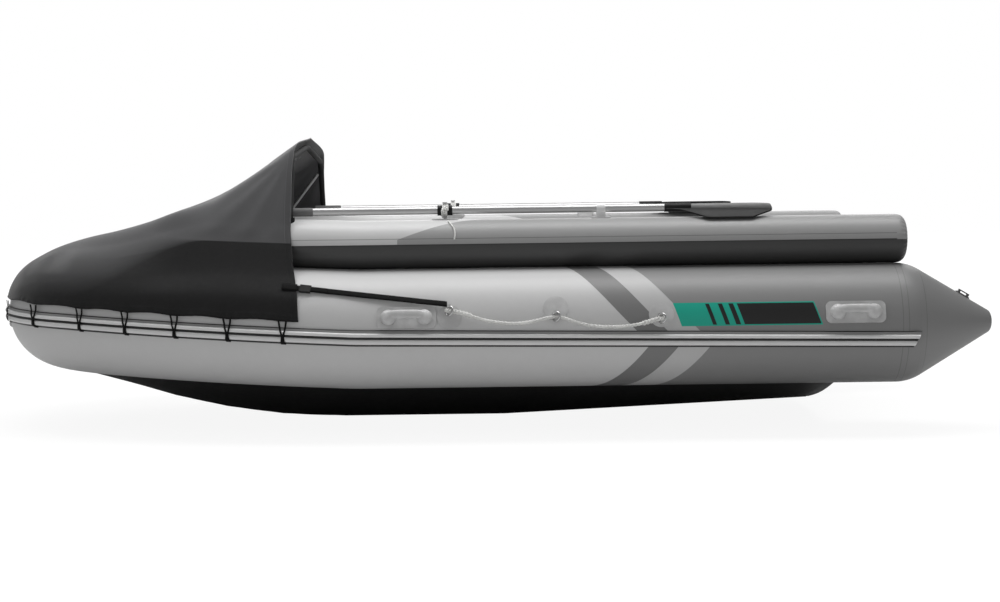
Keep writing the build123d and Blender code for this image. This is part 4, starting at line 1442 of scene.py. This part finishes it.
        corners = np.array([0.0, long, long + broad, 2 * long + broad, length])
        rows = spaced(*zip(corners, corners[1:], (9, 41, 9, 41)))
        band = wrapped("window_welt", rows, np.array([-1.0, 1.0]), round_window)
        solid(band, self.welt_thick)
        return dress(band, cloth, "hull", "hood_cloth")


@dataclass
class Lacing:
    """Laces round the bow: two legs from the hem to a tab over the strake's lower ridge."""

    leg: tuple[tuple[float, float, float], ...] = (
        (15.0, 62.0, 14.0), (13.4, 40.0, 11.0), (18.8, 20.0, 7.5), (19.0, 10.0, 5.0), (18.8, 0.0, 3.0),
    )
    tab: tuple[tuple[float, float, float], ...] = (
        (18.0, 5.0, 5.5), (19.6, -2.0, 6.0), (20.0, -12.0, 6.5), (19.4, -20.0, 7.5),
        (15.5, -27.0, 8.5), (8.0, -32.0, 9.0), (1.0, -36.0, 9.0),
    )
    leg_half: float = 0.0034
    thick: float = 0.002

    def band(self, run: float, path: Sequence[tuple[float, float, float]], side: float) -> bpy.types.Object:
        """Make one flat band across the strake.

        Args:
            run: Signed distance of the lace from the bow.
            path: Distance out of the tube, height and sideways shift or half width, in millimetres.
            side: 1 or -1 shifts a leg by the third column; 0 widens the tab by that column.

        Returns:
            The new band.
        """
        rows = np.array(path) / 1000

        def place(across: Array, index: Array) -> tuple[Array, Array, Array]:
            """Point of the band.

            Args:
                across: Place across the band, from -1 to 1.
                index: The path point's number.

            Returns:
                Station, Y and height of each point.
            """
            out, up, third = rows[np.rint(index).astype(int)].T
            shift = side * third + across * self.leg_half if side else across * third
            return LINES.on_strake(run + shift, out, up)

        piece = wrapped("lace", np.array([-1.0, 0.0, 1.0]), np.arange(len(path), dtype=float), place)
        solid(piece, self.thick)
        return piece

    def build(self, material: bpy.types.Material) -> bpy.types.Object:
        """Make all laces as one piece.

        Args:
            material: Black webbing.

        Returns:
            The dressed piece.
        """
        bands = []
        for i in range(LINES.laces):
            run = (i - (LINES.laces - 1) / 2) * LINES.lace_step
            bands += [self.band(run, self.leg, side) for side in (-1.0, 1.0)]
            bands.append(self.band(run, self.tab, 0.0))
        return dress(joined("hood_lacing", bands), material, "hull", "webbing", "hood_loops")


@dataclass
class Strap:
    """Taut webbing from the hood's rear edge to the first ring, with a stitched tab at the hood."""

    side: Side
    half: float = 0.0125
    lift: float = 0.08
    lap: float = 0.03
    seat: float = 0.44
    seat_out: float = 0.0015
    ring_out: float = 0.0142
    ring_up: float = 0.0288
    ring_fore: float = 0.0084
    bulge: float = 0.0012
    thick: float = 0.0022
    layers: tuple[tuple[str, float, float, float, float], ...] = (
        ("strap", 0.0, 1.0, 0.0, 0.0), ("tab", -0.01, 0.085, 0.0024, 0.004),
        ("turn_up", 0.93, 1.0, 0.0024, -0.001), ("free_end", 0.16, 0.27, 0.0024, -0.001),
    )

    def ends(self) -> tuple[Array, Array, Array]:
        """Where the strap runs, on the port side.

        Returns:
            Fore end, aft end and the band's direction across.
        """
        low, high = (np.array([Hood.rim_x, *point]) for point in Hood().half_section(*Hood.table[0])[1:3])
        across = unit(high - low)
        seat = low + self.seat * (high - low) + self.seat_out * np.array([0.0, across[2], -across[1]])
        sine = self.lift / LINES.tube_radius
        cosine = math.sqrt(1 - sine**2)
        out, up = np.array([0.0, cosine, sine]), np.array([0.0, -sine, cosine])
        axis = np.array([LINES.side(LINES.ring_shares[0]) + self.ring_fore, LINES.tube_y, LINES.tube_z])
        end = axis + (LINES.tube_radius + self.ring_out) * out + self.ring_up * up
        return seat + unit(seat - end) * self.lap, end, across

    def band(self, name: str, first: float, last: float, raised: float, half: float) -> bpy.types.Object:
        """Make a band along a part of the strap.

        Args:
            name: Name of the band.
            first: Where it starts, as a share of the strap.
            last: Where it ends.
            raised: Distance out of the strap's middle.
            half: Half width.

        Returns:
            The new band.
        """
        start, end, across = self.ends()
        outward = np.cross(across, unit(end - start))
        outward = outward * np.sign(outward[1])

        def place(share: Array, offset: Array) -> tuple[Array, Array, Array]:
            """Point of the band.

            Args:
                share: Share of the way along the strap.
                offset: Distance from its middle.

            Returns:
                Station, Y and height of each point.
            """
            out = self.bulge * (1 - (offset / half) ** 2) + raised
            points = start + share[:, None] * (end - start)
            points = points + offset[:, None] * across + out[:, None] * outward
            return points[:, 0], self.side.value * points[:, 1], points[:, 2]

        band = wrapped(name, np.linspace(first, last, 24), half * np.linspace(-1, 1, 5), place)
        solid(band, self.thick, 0.0)
        return band

    def build(self, material: bpy.types.Material) -> bpy.types.Object:
        """Make the strap.

        Args:
            material: Black webbing.

        Returns:
            The dressed strap.
        """
        pieces = [self.band(*layer, self.half + wider) for *layer, wider in self.layers]
        nodes = ("hood_straps",) if self.side is Side.PORT else ()
        return dress(joined(f"strap_{self.side.word}", pieces), material, "hull", "webbing", *nodes)


@dataclass
class Bottom:
    """The black V bottom from the tubes down to the keel guard."""

    flat_aft: float = -0.11
    flat_fore: float = 0.6
    fore_radius: float = 2.83
    aft_z: float = 0.058
    transom_x: float = -1.4585
    rake: float = math.radians(5.0)
    guard_half: float = 0.06
    guard: float = 0.008
    fore_x: float = 1.8
    chine_in: float = 0.04
    chine_up: float = 0.012
    keel_share: float = 0.1
    belly: float = 0.012
    thick: float = 0.006

    def keel_z(self, x: Array) -> Array:
        """Height of the keel guard's underside.

        Args:
            x: Stations.

        Returns:
            The heights.
        """
        aft = self.aft_z * (self.flat_aft - x) / (self.flat_aft - self.transom_x)
        fore = np.maximum(x - self.flat_fore, 0.0) ** 2 / (2 * self.fore_radius)
        return np.where(x < self.flat_aft, aft, fore)

    def place(self, x: Array, across: Array) -> tuple[Array, Array, Array]:
        """Point of the skin.

        Args:
            x: Station.
            across: Place from the port tube (1) over the keel to starboard (-1).

        Returns:
            Station, Y and height of each point.
        """
        reach, under = np.abs(across), self.keel_share
        chine_y = LINES.half_width(x) - self.chine_in
        chine_z = LINES.axis_z(x) - LINES.tube_radius + self.chine_up
        flat = np.minimum(self.guard_half, 0.3 * (chine_y - 0.11))
        keel = self.keel_z(x) + self.guard
        share = np.clip((reach - under) / (1 - under), 0.0, 1.0)
        y = np.where(reach < under, flat * reach / under, flat + (chine_y - flat) * share)
        z = keel + (chine_z - keel) * share
        raked = np.where(x < self.transom_x, z * math.tan(self.rake), 0.0)
        return x - raked, np.sign(across) * y, z - self.belly * np.sin(math.pi * share)

    def build(self, material: bpy.types.Material) -> bpy.types.Object:
        """Make the skin.

        Args:
            material: Black coated fabric.

        Returns:
            The dressed piece.
        """
        middle = self.flat_fore
        stations = spaced((self.transom_x - 0.01, middle, 60), (middle, self.fore_x, 64))
        skin = wrapped("bottom_skin", stations, np.linspace(-1, 1, 81), self.place)
        solid(skin, self.thick, 1.0)
        return dress(skin, material, "hull", "bottom_fabric", "hull_bottom")


@dataclass
class GrabRope:
    """White rope of three twisted strands through the rings of one side."""

    side: Side
    radius: float = 0.007
    pitch: float = 0.042
    core: float = 0.48
    strands: int = 3
    row: float = 0.0034
    splice: tuple[float, float] = (0.0062, 0.0042)
    splice_turn: float = 0.9
    splice_ends: tuple[float, float] = (0.115, 0.1)
    tuck: float = 0.004
    route: tuple[tuple[float, float, float], ...] = (
        (-0.0225, 82, 22), (0.0178, 79, 19), (0.0770, 70, 13), (0.1469, 49, 10), (0.2180, 37, 10),
        (0.2891, 31, 10), (0.3602, 33, 10), (0.4254, 44, 12), (0.4775, 54, 18), (0.5273, 53, 18),
        (0.5818, 37, 12), (0.6505, 21, 10), (0.7275, 14, 10), (0.8045, 14, 10), (0.8697, 19, 10),
        (0.9289, 29, 13), (0.9799, 41, 18), (1.0225, 47, 21),
    )

    def points(self) -> list[tuple[float, float, float]]:
        """Control points of the route.

        Returns:
            A point for each row of the route, which gives the share of the way from the first ring
            to the last, and the lift and the distance out in millimetres.
        """
        fore, aft = (LINES.side(share) for share in LINES.ring_shares)
        found = []
        for share, lift, out in self.route:
            angle = math.asin(lift / 1000 / LINES.tube_radius)
            reach = LINES.tube_radius + out / 1000
            y, z = LINES.tube_y + reach * math.cos(angle), LINES.tube_z + reach * math.sin(angle)
            found.append((fore + share * (aft - fore), self.side.value * y, z))
        return found

    def strand(
        self, path: Array, turn: float, offset: float, thick: float, first: float, last: float
    ) -> bpy.types.Object:
        """Make one strand that winds round the route.

        Args:
            path: Points of the route.
            turn: The strand's start angle.
            offset: Distance from the route.
            thick: The strand's own radius.
            first: Where it starts, in metres along the route.
            last: Where it ends.

        Returns:
            The strand.
        """
        far = np.concatenate([[0.0], np.cumsum(np.linalg.norm(np.diff(path, axis=0), axis=1))])
        first, last = max(first, 0.0), min(last, float(far[-1]))
        rows = np.arange(first, last, self.row)

        def on_route(at: Array) -> Array:
            """Point of the route by the distance along it."""
            return np.stack([np.interp(at, far, path[:, k]) for k in range(3)], 1)

        def place(at: Array, angle: Array) -> tuple[Array, Array, Array]:
            """Point of the strand.

            Args:
                at: Distance along the route.
                angle: Angle round the strand.

            Returns:
                Station, Y and height of each point.
            """
            ahead = unit(on_route(at + 0.002) - on_route(at - 0.002))
            side = unit(np.cross(ahead, np.array([0.0, 0.0, 1.0])))
            up = np.cross(side, ahead)
            wind = turn + at * (math.tau / self.pitch)
            nap = np.where((at <= first + 1e-6) | (at >= rows[-1] - 1e-6), 0.0, thick)
            out = offset * np.cos(wind) + nap * np.cos(angle + wind)
            rise = offset * np.sin(wind) + nap * np.sin(angle + wind)
            points = on_route(at) + out[:, None] * side + rise[:, None] * up
            return points[:, 0], points[:, 1], points[:, 2]

        return wrapped("strand", rows, np.linspace(0, math.tau, 11), place, ring=True)

    def build(self, material: bpy.types.Material) -> bpy.types.Object:
        """Make the rope.

        Args:
            material: White cord finish.

        Returns:
            The rope.
        """
        path = traced(self.points())
        length = float(np.sum(np.linalg.norm(np.diff(path, axis=0), axis=1)))
        core, thick = self.core * self.radius, (1 - self.core) * self.radius
        turns = [k * math.tau / self.strands for k in range(self.strands)]
        strands = [self.strand(path, turn, core, thick, 0.0, length) for turn in turns]
        rope = joined(f"rope_{self.side.word}", strands)
        dress(rope, material, "hull", "white_cord", f"grab_rope_{self.side.word}")
        fore, aft = self.splice_ends
        spans = ((self.tuck, fore), (length - aft, length - self.tuck))
        start = self.splice_turn
        ends = [self.strand(path, start + turn, *self.splice, *span) for span in spans for turn in turns]
        splice = dress(joined(f"splice_{self.side.word}", ends), material, "hull", "white_cord")
        log.info("%s is %.3f m long", rope.name, length)
        return rope


@dataclass
class Lashing:
    """White cord wound round an oar's collar, with a knot on the outer side."""

    side: Side
    radius: float = 0.0028
    collar: float = 0.021
    turns: int = 4
    width: float = 0.026
    knot: float = 0.0042
    knot_out: float = 0.008

    def build(self, material: bpy.types.Material) -> bpy.types.Object:
        """Make the windings and the knot.

        Args:
            material: White cord finish.

        Returns:
            The dressed piece.
        """
        t = np.linspace(0, 1, 16 * self.turns)
        wind = math.tau * self.turns * t
        reach = self.collar + 0.9 * self.radius + 0.0012 * np.sin(5 * wind)
        x, y, z = LINES.rowlock_x, self.side.value * LINES.oar_y, LINES.oar_z
        coil = np.stack([x + self.width * (t - 0.5), y + reach * np.cos(wind), z + reach * np.sin(wind)], 1)
        u = np.linspace(0, math.tau, 40)
        middle = np.array([x, y + self.side.value * (self.collar + self.knot_out), z])
        trefoil = [np.sin(u) + 2 * np.sin(2 * u), 1.6 * np.sin(3 * u), np.cos(u) - 2 * np.cos(2 * u)]
        knot = middle + self.knot * np.stack(trefoil, 1)
        piece = nurbs(f"lashing_{self.side.word}", self.radius, coil, knot)
        return dress(piece, material, f"oar_{self.side.word}", "white_cord")


@dataclass
class CordTail:
    """Short end of the oar lashing that hangs over an upper tube."""

    side: Side
    radius: float = 0.003
    route: tuple[tuple[float, float], ...] = ((66, 14), (52, 28), (38, 40), (24, 44), (12, 40))

    def build(self, material: bpy.types.Material) -> bpy.types.Object:
        """Make the cord's end.

        Args:
            material: White cord finish.

        Returns:
            The cord.
        """
        points = []
        reach = LINES.upper_radius + self.radius + 0.0008
        for angle, back in self.route:
            turn = math.radians(angle)
            y, z = LINES.upper_y + reach * math.cos(turn), LINES.upper_z + reach * math.sin(turn)
            points.append((LINES.rowlock_x - back / 1000, self.side.value * y, z))
        cord = nurbs(f"tail_{self.side.word}", self.radius, points)
        dress(cord, material, "hull", "white_cord", f"cord_tail_{self.side.word}")
        return cord


def nurbs(name: str, radius: float, *runs: Sequence[Sequence[float]]) -> bpy.types.Object:
    """Add smooth round curves as one object.

    Args:
        name: Name of the piece.
        radius: Half the cord's diameter, or 0 for a bare line.
        runs: Control points of each curve in the row frame.

    Returns:
        The curve object at the origin.
    """
    curve = bpy.data.curves.new(name, "CURVE")
    curve.dimensions = "3D"
    for points in runs:
        spline = curve.splines.new("NURBS")
        spline.points.add(len(points) - 1)
        for point, place in zip(spline.points, points):
            point.co = (*place, 1.0)
        spline.order_u = 3
        spline.use_endpoint_u = True
    curve.resolution_u = 10
    curve.bevel_depth = radius
    curve.bevel_resolution = 4
    curve.use_fill_caps = radius > 0
    piece = bpy.data.objects.new(name, curve)
    bpy.context.scene.collection.objects.link(piece)
    return piece


def traced(points: Sequence[Sequence[float]]) -> Array:
    """Points along the smooth curve through a route's control points.

    Args:
        points: Control points in the row frame.

    Returns:
        One row of x, y and z for each point.
    """
    line = nurbs("route", 0.0, points)
    bpy.context.view_layer.update()
    mesh = bpy.data.meshes.new_from_object(line)
    path = np.array([vertex.co[:] for vertex in mesh.vertices])
    bpy.data.objects.remove(line)
    bpy.data.meshes.remove(mesh)
    return path


@dataclass
class Handles:
    """Moulded carry handles: two domed ends joined by a thick bar, on each side fore and aft."""

    shares: tuple[float, float] = (0.0963, 0.9087)
    angle: float = math.radians(14.2)
    reach: float = 0.072
    end: tuple[float, float, float] = (0.031, 0.031, 0.029)
    bar: tuple[float, float, float] = (0.078, 0.0175, 0.0125)
    bar_up: float = 0.01
    bar_out: float = 0.0255
    end_out: float = 0.005
    pad: float = 0.005
    blunt: tuple[float, float] = (0.45, 0.75)
    grain: float = 0.0022

    def grip(self) -> bpy.types.Object:
        """Make one grip, flat at the origin: X along the boat, Y up the tube, Z outward.

        Returns:
            The grip.
        """
        lumps = [((sign * self.reach, 0.0, self.end_out), self.end) for sign in (-1, 1)]
        lumps.append(((0.0, self.bar_up, self.bar_out), self.bar))
        parts = []
        for place, size in lumps:
            bpy.ops.object.select_all(action="DESELECT")
            bpy.ops.mesh.primitive_uv_sphere_add(segments=40, ring_count=24, radius=1.0)
            part = bpy.context.object
            points = np.array([vertex.co[:] for vertex in part.data.vertices])
            powers = np.array([self.blunt[0] if size is self.bar else 1.0, 1.0, self.blunt[1]])
            blunt = np.sign(points) * np.abs(points) ** powers
            moved = blunt * np.array(size) + np.array(place)
            moved[:, 2] = np.maximum(moved[:, 2], 0.0)
            part.data.vertices.foreach_set("co", moved.ravel())
            part.data.update()
            parts.append(part)
        grip = joined("grip", parts)
        changes = {
            "REMESH": {"mode": "VOXEL", "voxel_size": self.grain}, "SMOOTH": {"factor": 0.5, "iterations": 6},
        }
        for kind, settings in changes.items():
            change = grip.modifiers.new(kind.lower(), kind)
            for key, value in settings.items():
                setattr(change, key, value)
            bpy.ops.object.modifier_apply(modifier=change.name)
        bpy.ops.object.shade_smooth()
        return grip

    def build(self, material: bpy.types.Material) -> bpy.types.Object:
        """Make all grips as one piece.

        Args:
            material: Grey rubber.

        Returns:
            The dressed piece.
        """
        first = self.grip()
        along, rise, deep = np.array([vertex.co[:] for vertex in first.data.vertices]).T
        reach, sine, cosine = LINES.tube_radius + self.pad + deep, math.sin(self.angle), math.cos(self.angle)
        y = LINES.tube_y + reach * cosine - rise * sine
        z = LINES.tube_z + reach * sine + rise * cosine
        grips = []
        for share in self.shares:
            for side in Side:
                grip = first.copy()
                grip.data = first.data.copy()
                bpy.context.scene.collection.objects.link(grip)
                points = np.stack([LINES.side(share) + side.value * along, side.value * y, z], 1)
                grip.data.vertices.foreach_set("co", points.ravel())
                grip.data.update()
                if side is Side.PORT:
                    grip.data.flip_normals()
                grips.append(grip)
        bpy.data.objects.remove(first)
        return dress(joined("grips", grips), material, "hull", "grey_plastic", "handle_grips")


def seen(tree: bpy.types.NodeTree) -> Value:
    """Tell the rays that show the backdrop.

    Args:
        tree: Node tree of a material or world.

    Returns:
        1 for rays of the camera and rays through clear film, otherwise 0.
    """
    rays = add_node(tree, "ShaderNodeLightPath").socket.node.outputs
    both = Value(tree, rays["Is Camera Ray"]) + Value(tree, rays["Is Transmission Ray"])
    return both.math("MINIMUM", 1.0)


@dataclass
class Studio:
    """Floor, soft lamps, white surroundings and the camera."""

    eye: tuple[float, float, float] = (-0.0967, 8.3289, 0.9996)
    lens: float = 66.68
    pitch: float = 3.418
    roll: float = -0.756
    glow: float = 1.08
    glow_share: float = 0.84
    glow_fade: tuple[float, float] = (1.2, 3.4)
    light: float = 0.26

    def floor(self) -> None:
        """Pale floor that keeps the boat's shadow."""
        bpy.ops.object.select_all(action="DESELECT")
        bpy.ops.mesh.primitive_plane_add(size=60)
        plane = bpy.context.object
        plane.name = "floor"
        plane.location.z = -0.002
        paint = Painter("floor_paint")
        paint.set(Base_Color=0.8, Roughness=0.9)
        x, y, _ = paint.split()
        away = (x * x * 0.4 + y * y).math("SQRT").step(*self.glow_fade)
        glow = paint.add("ShaderNodeEmission", Color=rgba(1.0), Strength=self.glow)
        out = next(n for n in paint.tree.nodes if n.type == "OUTPUT_MATERIAL")
        body = Value(paint.tree, paint.shader.outputs[0])
        share = seen(paint.tree) * (self.glow_share + away * (1 - self.glow_share))
        mixed = paint.add("ShaderNodeMixShader", i0=share, i1=body, i2=glow)
        paint.tree.links.new(mixed.socket, out.inputs[0])
        plane.data.materials.append(paint.material)

    def lamps(self) -> None:
        """Large soft lamps above, in front and behind."""
        for name, place, aim, size, power in (
            ("top_lamp", (0.0, 0.6, 4.2), (0.0, 0.5, 0.5), (6.5, 1.6), 165.0),
            ("front_lamp", (0.0, 7.0, 1.6), (0.0, 0.6, 0.4), (7.0, 2.4), 14.0),
            ("back_lamp", (0.0, -4.4, 3.2), (0.0, 0.0, 0.8), (9.0, 2.6), 130.0),
        ):
            bpy.ops.object.light_add(type="AREA", location=place)
            lamp = bpy.context.object
            lamp.name = name
            lamp.data.shape = "RECTANGLE"
            lamp.data.size, lamp.data.size_y = size
            lamp.data.energy = power
            direction = lamp.location.__class__(aim) - lamp.location
            lamp.rotation_euler = direction.to_track_quat("-Z", "Y").to_euler()

    def surroundings(self) -> None:
        """White backdrop for the camera and through clear film, with a dimmer light on the boat."""
        world = bpy.data.worlds.new("surroundings")
        bpy.context.scene.world = world
        world.use_nodes = True
        tree = world.node_tree
        back = next(n for n in tree.nodes if n.type == "BACKGROUND")
        back.inputs["Color"].default_value = rgba(1.0)
        strength = self.light + seen(tree) * (1 - self.light)
        tree.links.new(strength.socket, back.inputs["Strength"])

    def camera(self) -> None:
        """Camera on the port side, a little above the side tubes."""
        bpy.ops.object.camera_add(location=self.eye)
        camera = bpy.context.object
        camera.data.lens = self.lens
        camera.data.sensor_width = 36.0
        camera.data.clip_end = 200.0
        camera.rotation_euler = (math.radians(90 - self.pitch), 0.0, math.radians(180))
        roll = type(camera.matrix_world)().Rotation(math.radians(self.roll), 3, "Z")
        camera.rotation_euler = (camera.rotation_euler.to_matrix() @ roll).to_euler()
        bpy.context.scene.camera = camera

    def build(self) -> None:
        """Set the whole studio up."""
        self.floor()
        self.lamps()
        self.surroundings()
        self.camera()
        bpy.context.scene.view_settings.view_transform = "Standard"


@dataclass
class Fittings:
    """CAD nodes that keep their shape and get a finish."""

    edge: float = 0.0012
    sharp: float = math.radians(35)
    weld: float = 0.00002
    rounded: tuple[str, ...] = (
        "transom", "bench_fore", "bench_aft", "motor_pad_outer", "motor_pad_inner", "strap_buckles",
        "oar_clips", "cone_loops", "rowlock_port", "rowlock_starboard", "oar_blade_port",
        "oar_blade_starboard",
    )

    def build(self) -> None:
        """Give each shown node its material."""
        black = Plastic("black_plastic", 0.012, 0.42, gloss=0.2)
        finishes: dict[Finish, tuple[str, ...]] = {
            Plastic("grey_rubber", 0.56, 0.45): (
                "handle_pads", "ring_patches", "bow_eye", "rowlock_port", "rowlock_starboard",
            ),
            Plastic("white_plastic", 0.85, 0.35): ("oar_clips",),
            Plastic("loop_rubber", 0.14, 0.5): ("cone_loops",),
            black: (
                "strap_buckles", "hood_feet", "valves", "motor_pad_outer", "motor_pad_inner",
                "oar_collar_port", "oar_collar_starboard", "oar_blade_port", "oar_blade_starboard",
            ),
            Plastic("grip_rubber", 0.16, 0.55): ("oar_grip_port", "oar_grip_starboard"),
            Metal("bare_aluminium", 0.55, 0.4): ("oar_shaft_port", "oar_shaft_starboard", "hood_struts"),
            Metal("ring_steel", 0.62, 0.2): ("grab_rings",),
            Plastic("arch_sleeve", 0.01, 0.75, 700.0): ("hood_arch",),
            Plastic("keel_rubber", 0.006, 0.5): ("keel_guard",),
            Fabric("holder_fabric", 0.22): ("transom_holders", "bench_holders"),
            Board("grey_board", 0.3): ("transom", "bench_fore", "bench_aft"),
            Board("ribbed_floor", 0.4, 1.0, 0.03, 0.52): (
                "floor_aft", "floor_mid", "floor_fore", "floor_bow",
            ),
        }
        for finish, nodes in finishes.items():
            material = finish.material()
            for node in nodes:
                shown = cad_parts[node]
                shown.data.materials.clear()
                shown.data.materials.append(material)
                if node in self.rounded:
                    self.soften(shown)
                log.info("%s is finished in %s", node, material.name)

    def soften(self, shown: bpy.types.Object) -> None:
        """Round a node's sharp edges a little.

        Args:
            shown: The CAD node.
        """
        weld = shown.modifiers.new("weld", "WELD")
        weld.merge_threshold = self.weld
        bevel = shown.modifiers.new("bevel", "BEVEL")
        bevel.width = self.edge
        bevel.segments = 2
        bevel.limit_method = "ANGLE"
        bevel.angle_limit = self.sharp


def main() -> None:
    """Build every piece of the boat and the studio."""
    logging.basicConfig(level=logging.INFO, format="%(name)s: %(message)s")
    Studio().build()
    MainTube().build()
    upper = UpperPanels("upper_fabric", 0.62).material()
    for side in Side:
        UpperTube(side).build(upper)
    # the ridges are the flange's rubber, painted pale as a painted highlight
    ridges = Plastic("strake_pale", 0.74, 0.22, wear=0.2).material()
    Strake().build(StrakeFlange("strake_flange").material(), ridges)
    Hood().build(Cloth("hood_cloth").material(), Film("window_film").material())
    Bottom().build(Fabric("bottom_fabric", 0.004, 0.55).material())
    webbing = Webbing("webbing").material()
    Lacing().build(webbing)
    for side in Side:
        Strap(side).build(webbing)
    cord = Plastic("white_cord", (0.82, 0.82, 0.8), 0.7, 900.0, 0.001).material()
    for side in Side:
        GrabRope(side).build(cord)
        CordTail(side).build(cord)
        Lashing(side).build(cord)
    Handles().build(Plastic("grip_grey", 0.6, 0.38).material())
    Fittings().build()


if __name__ == "__main__":
    main()
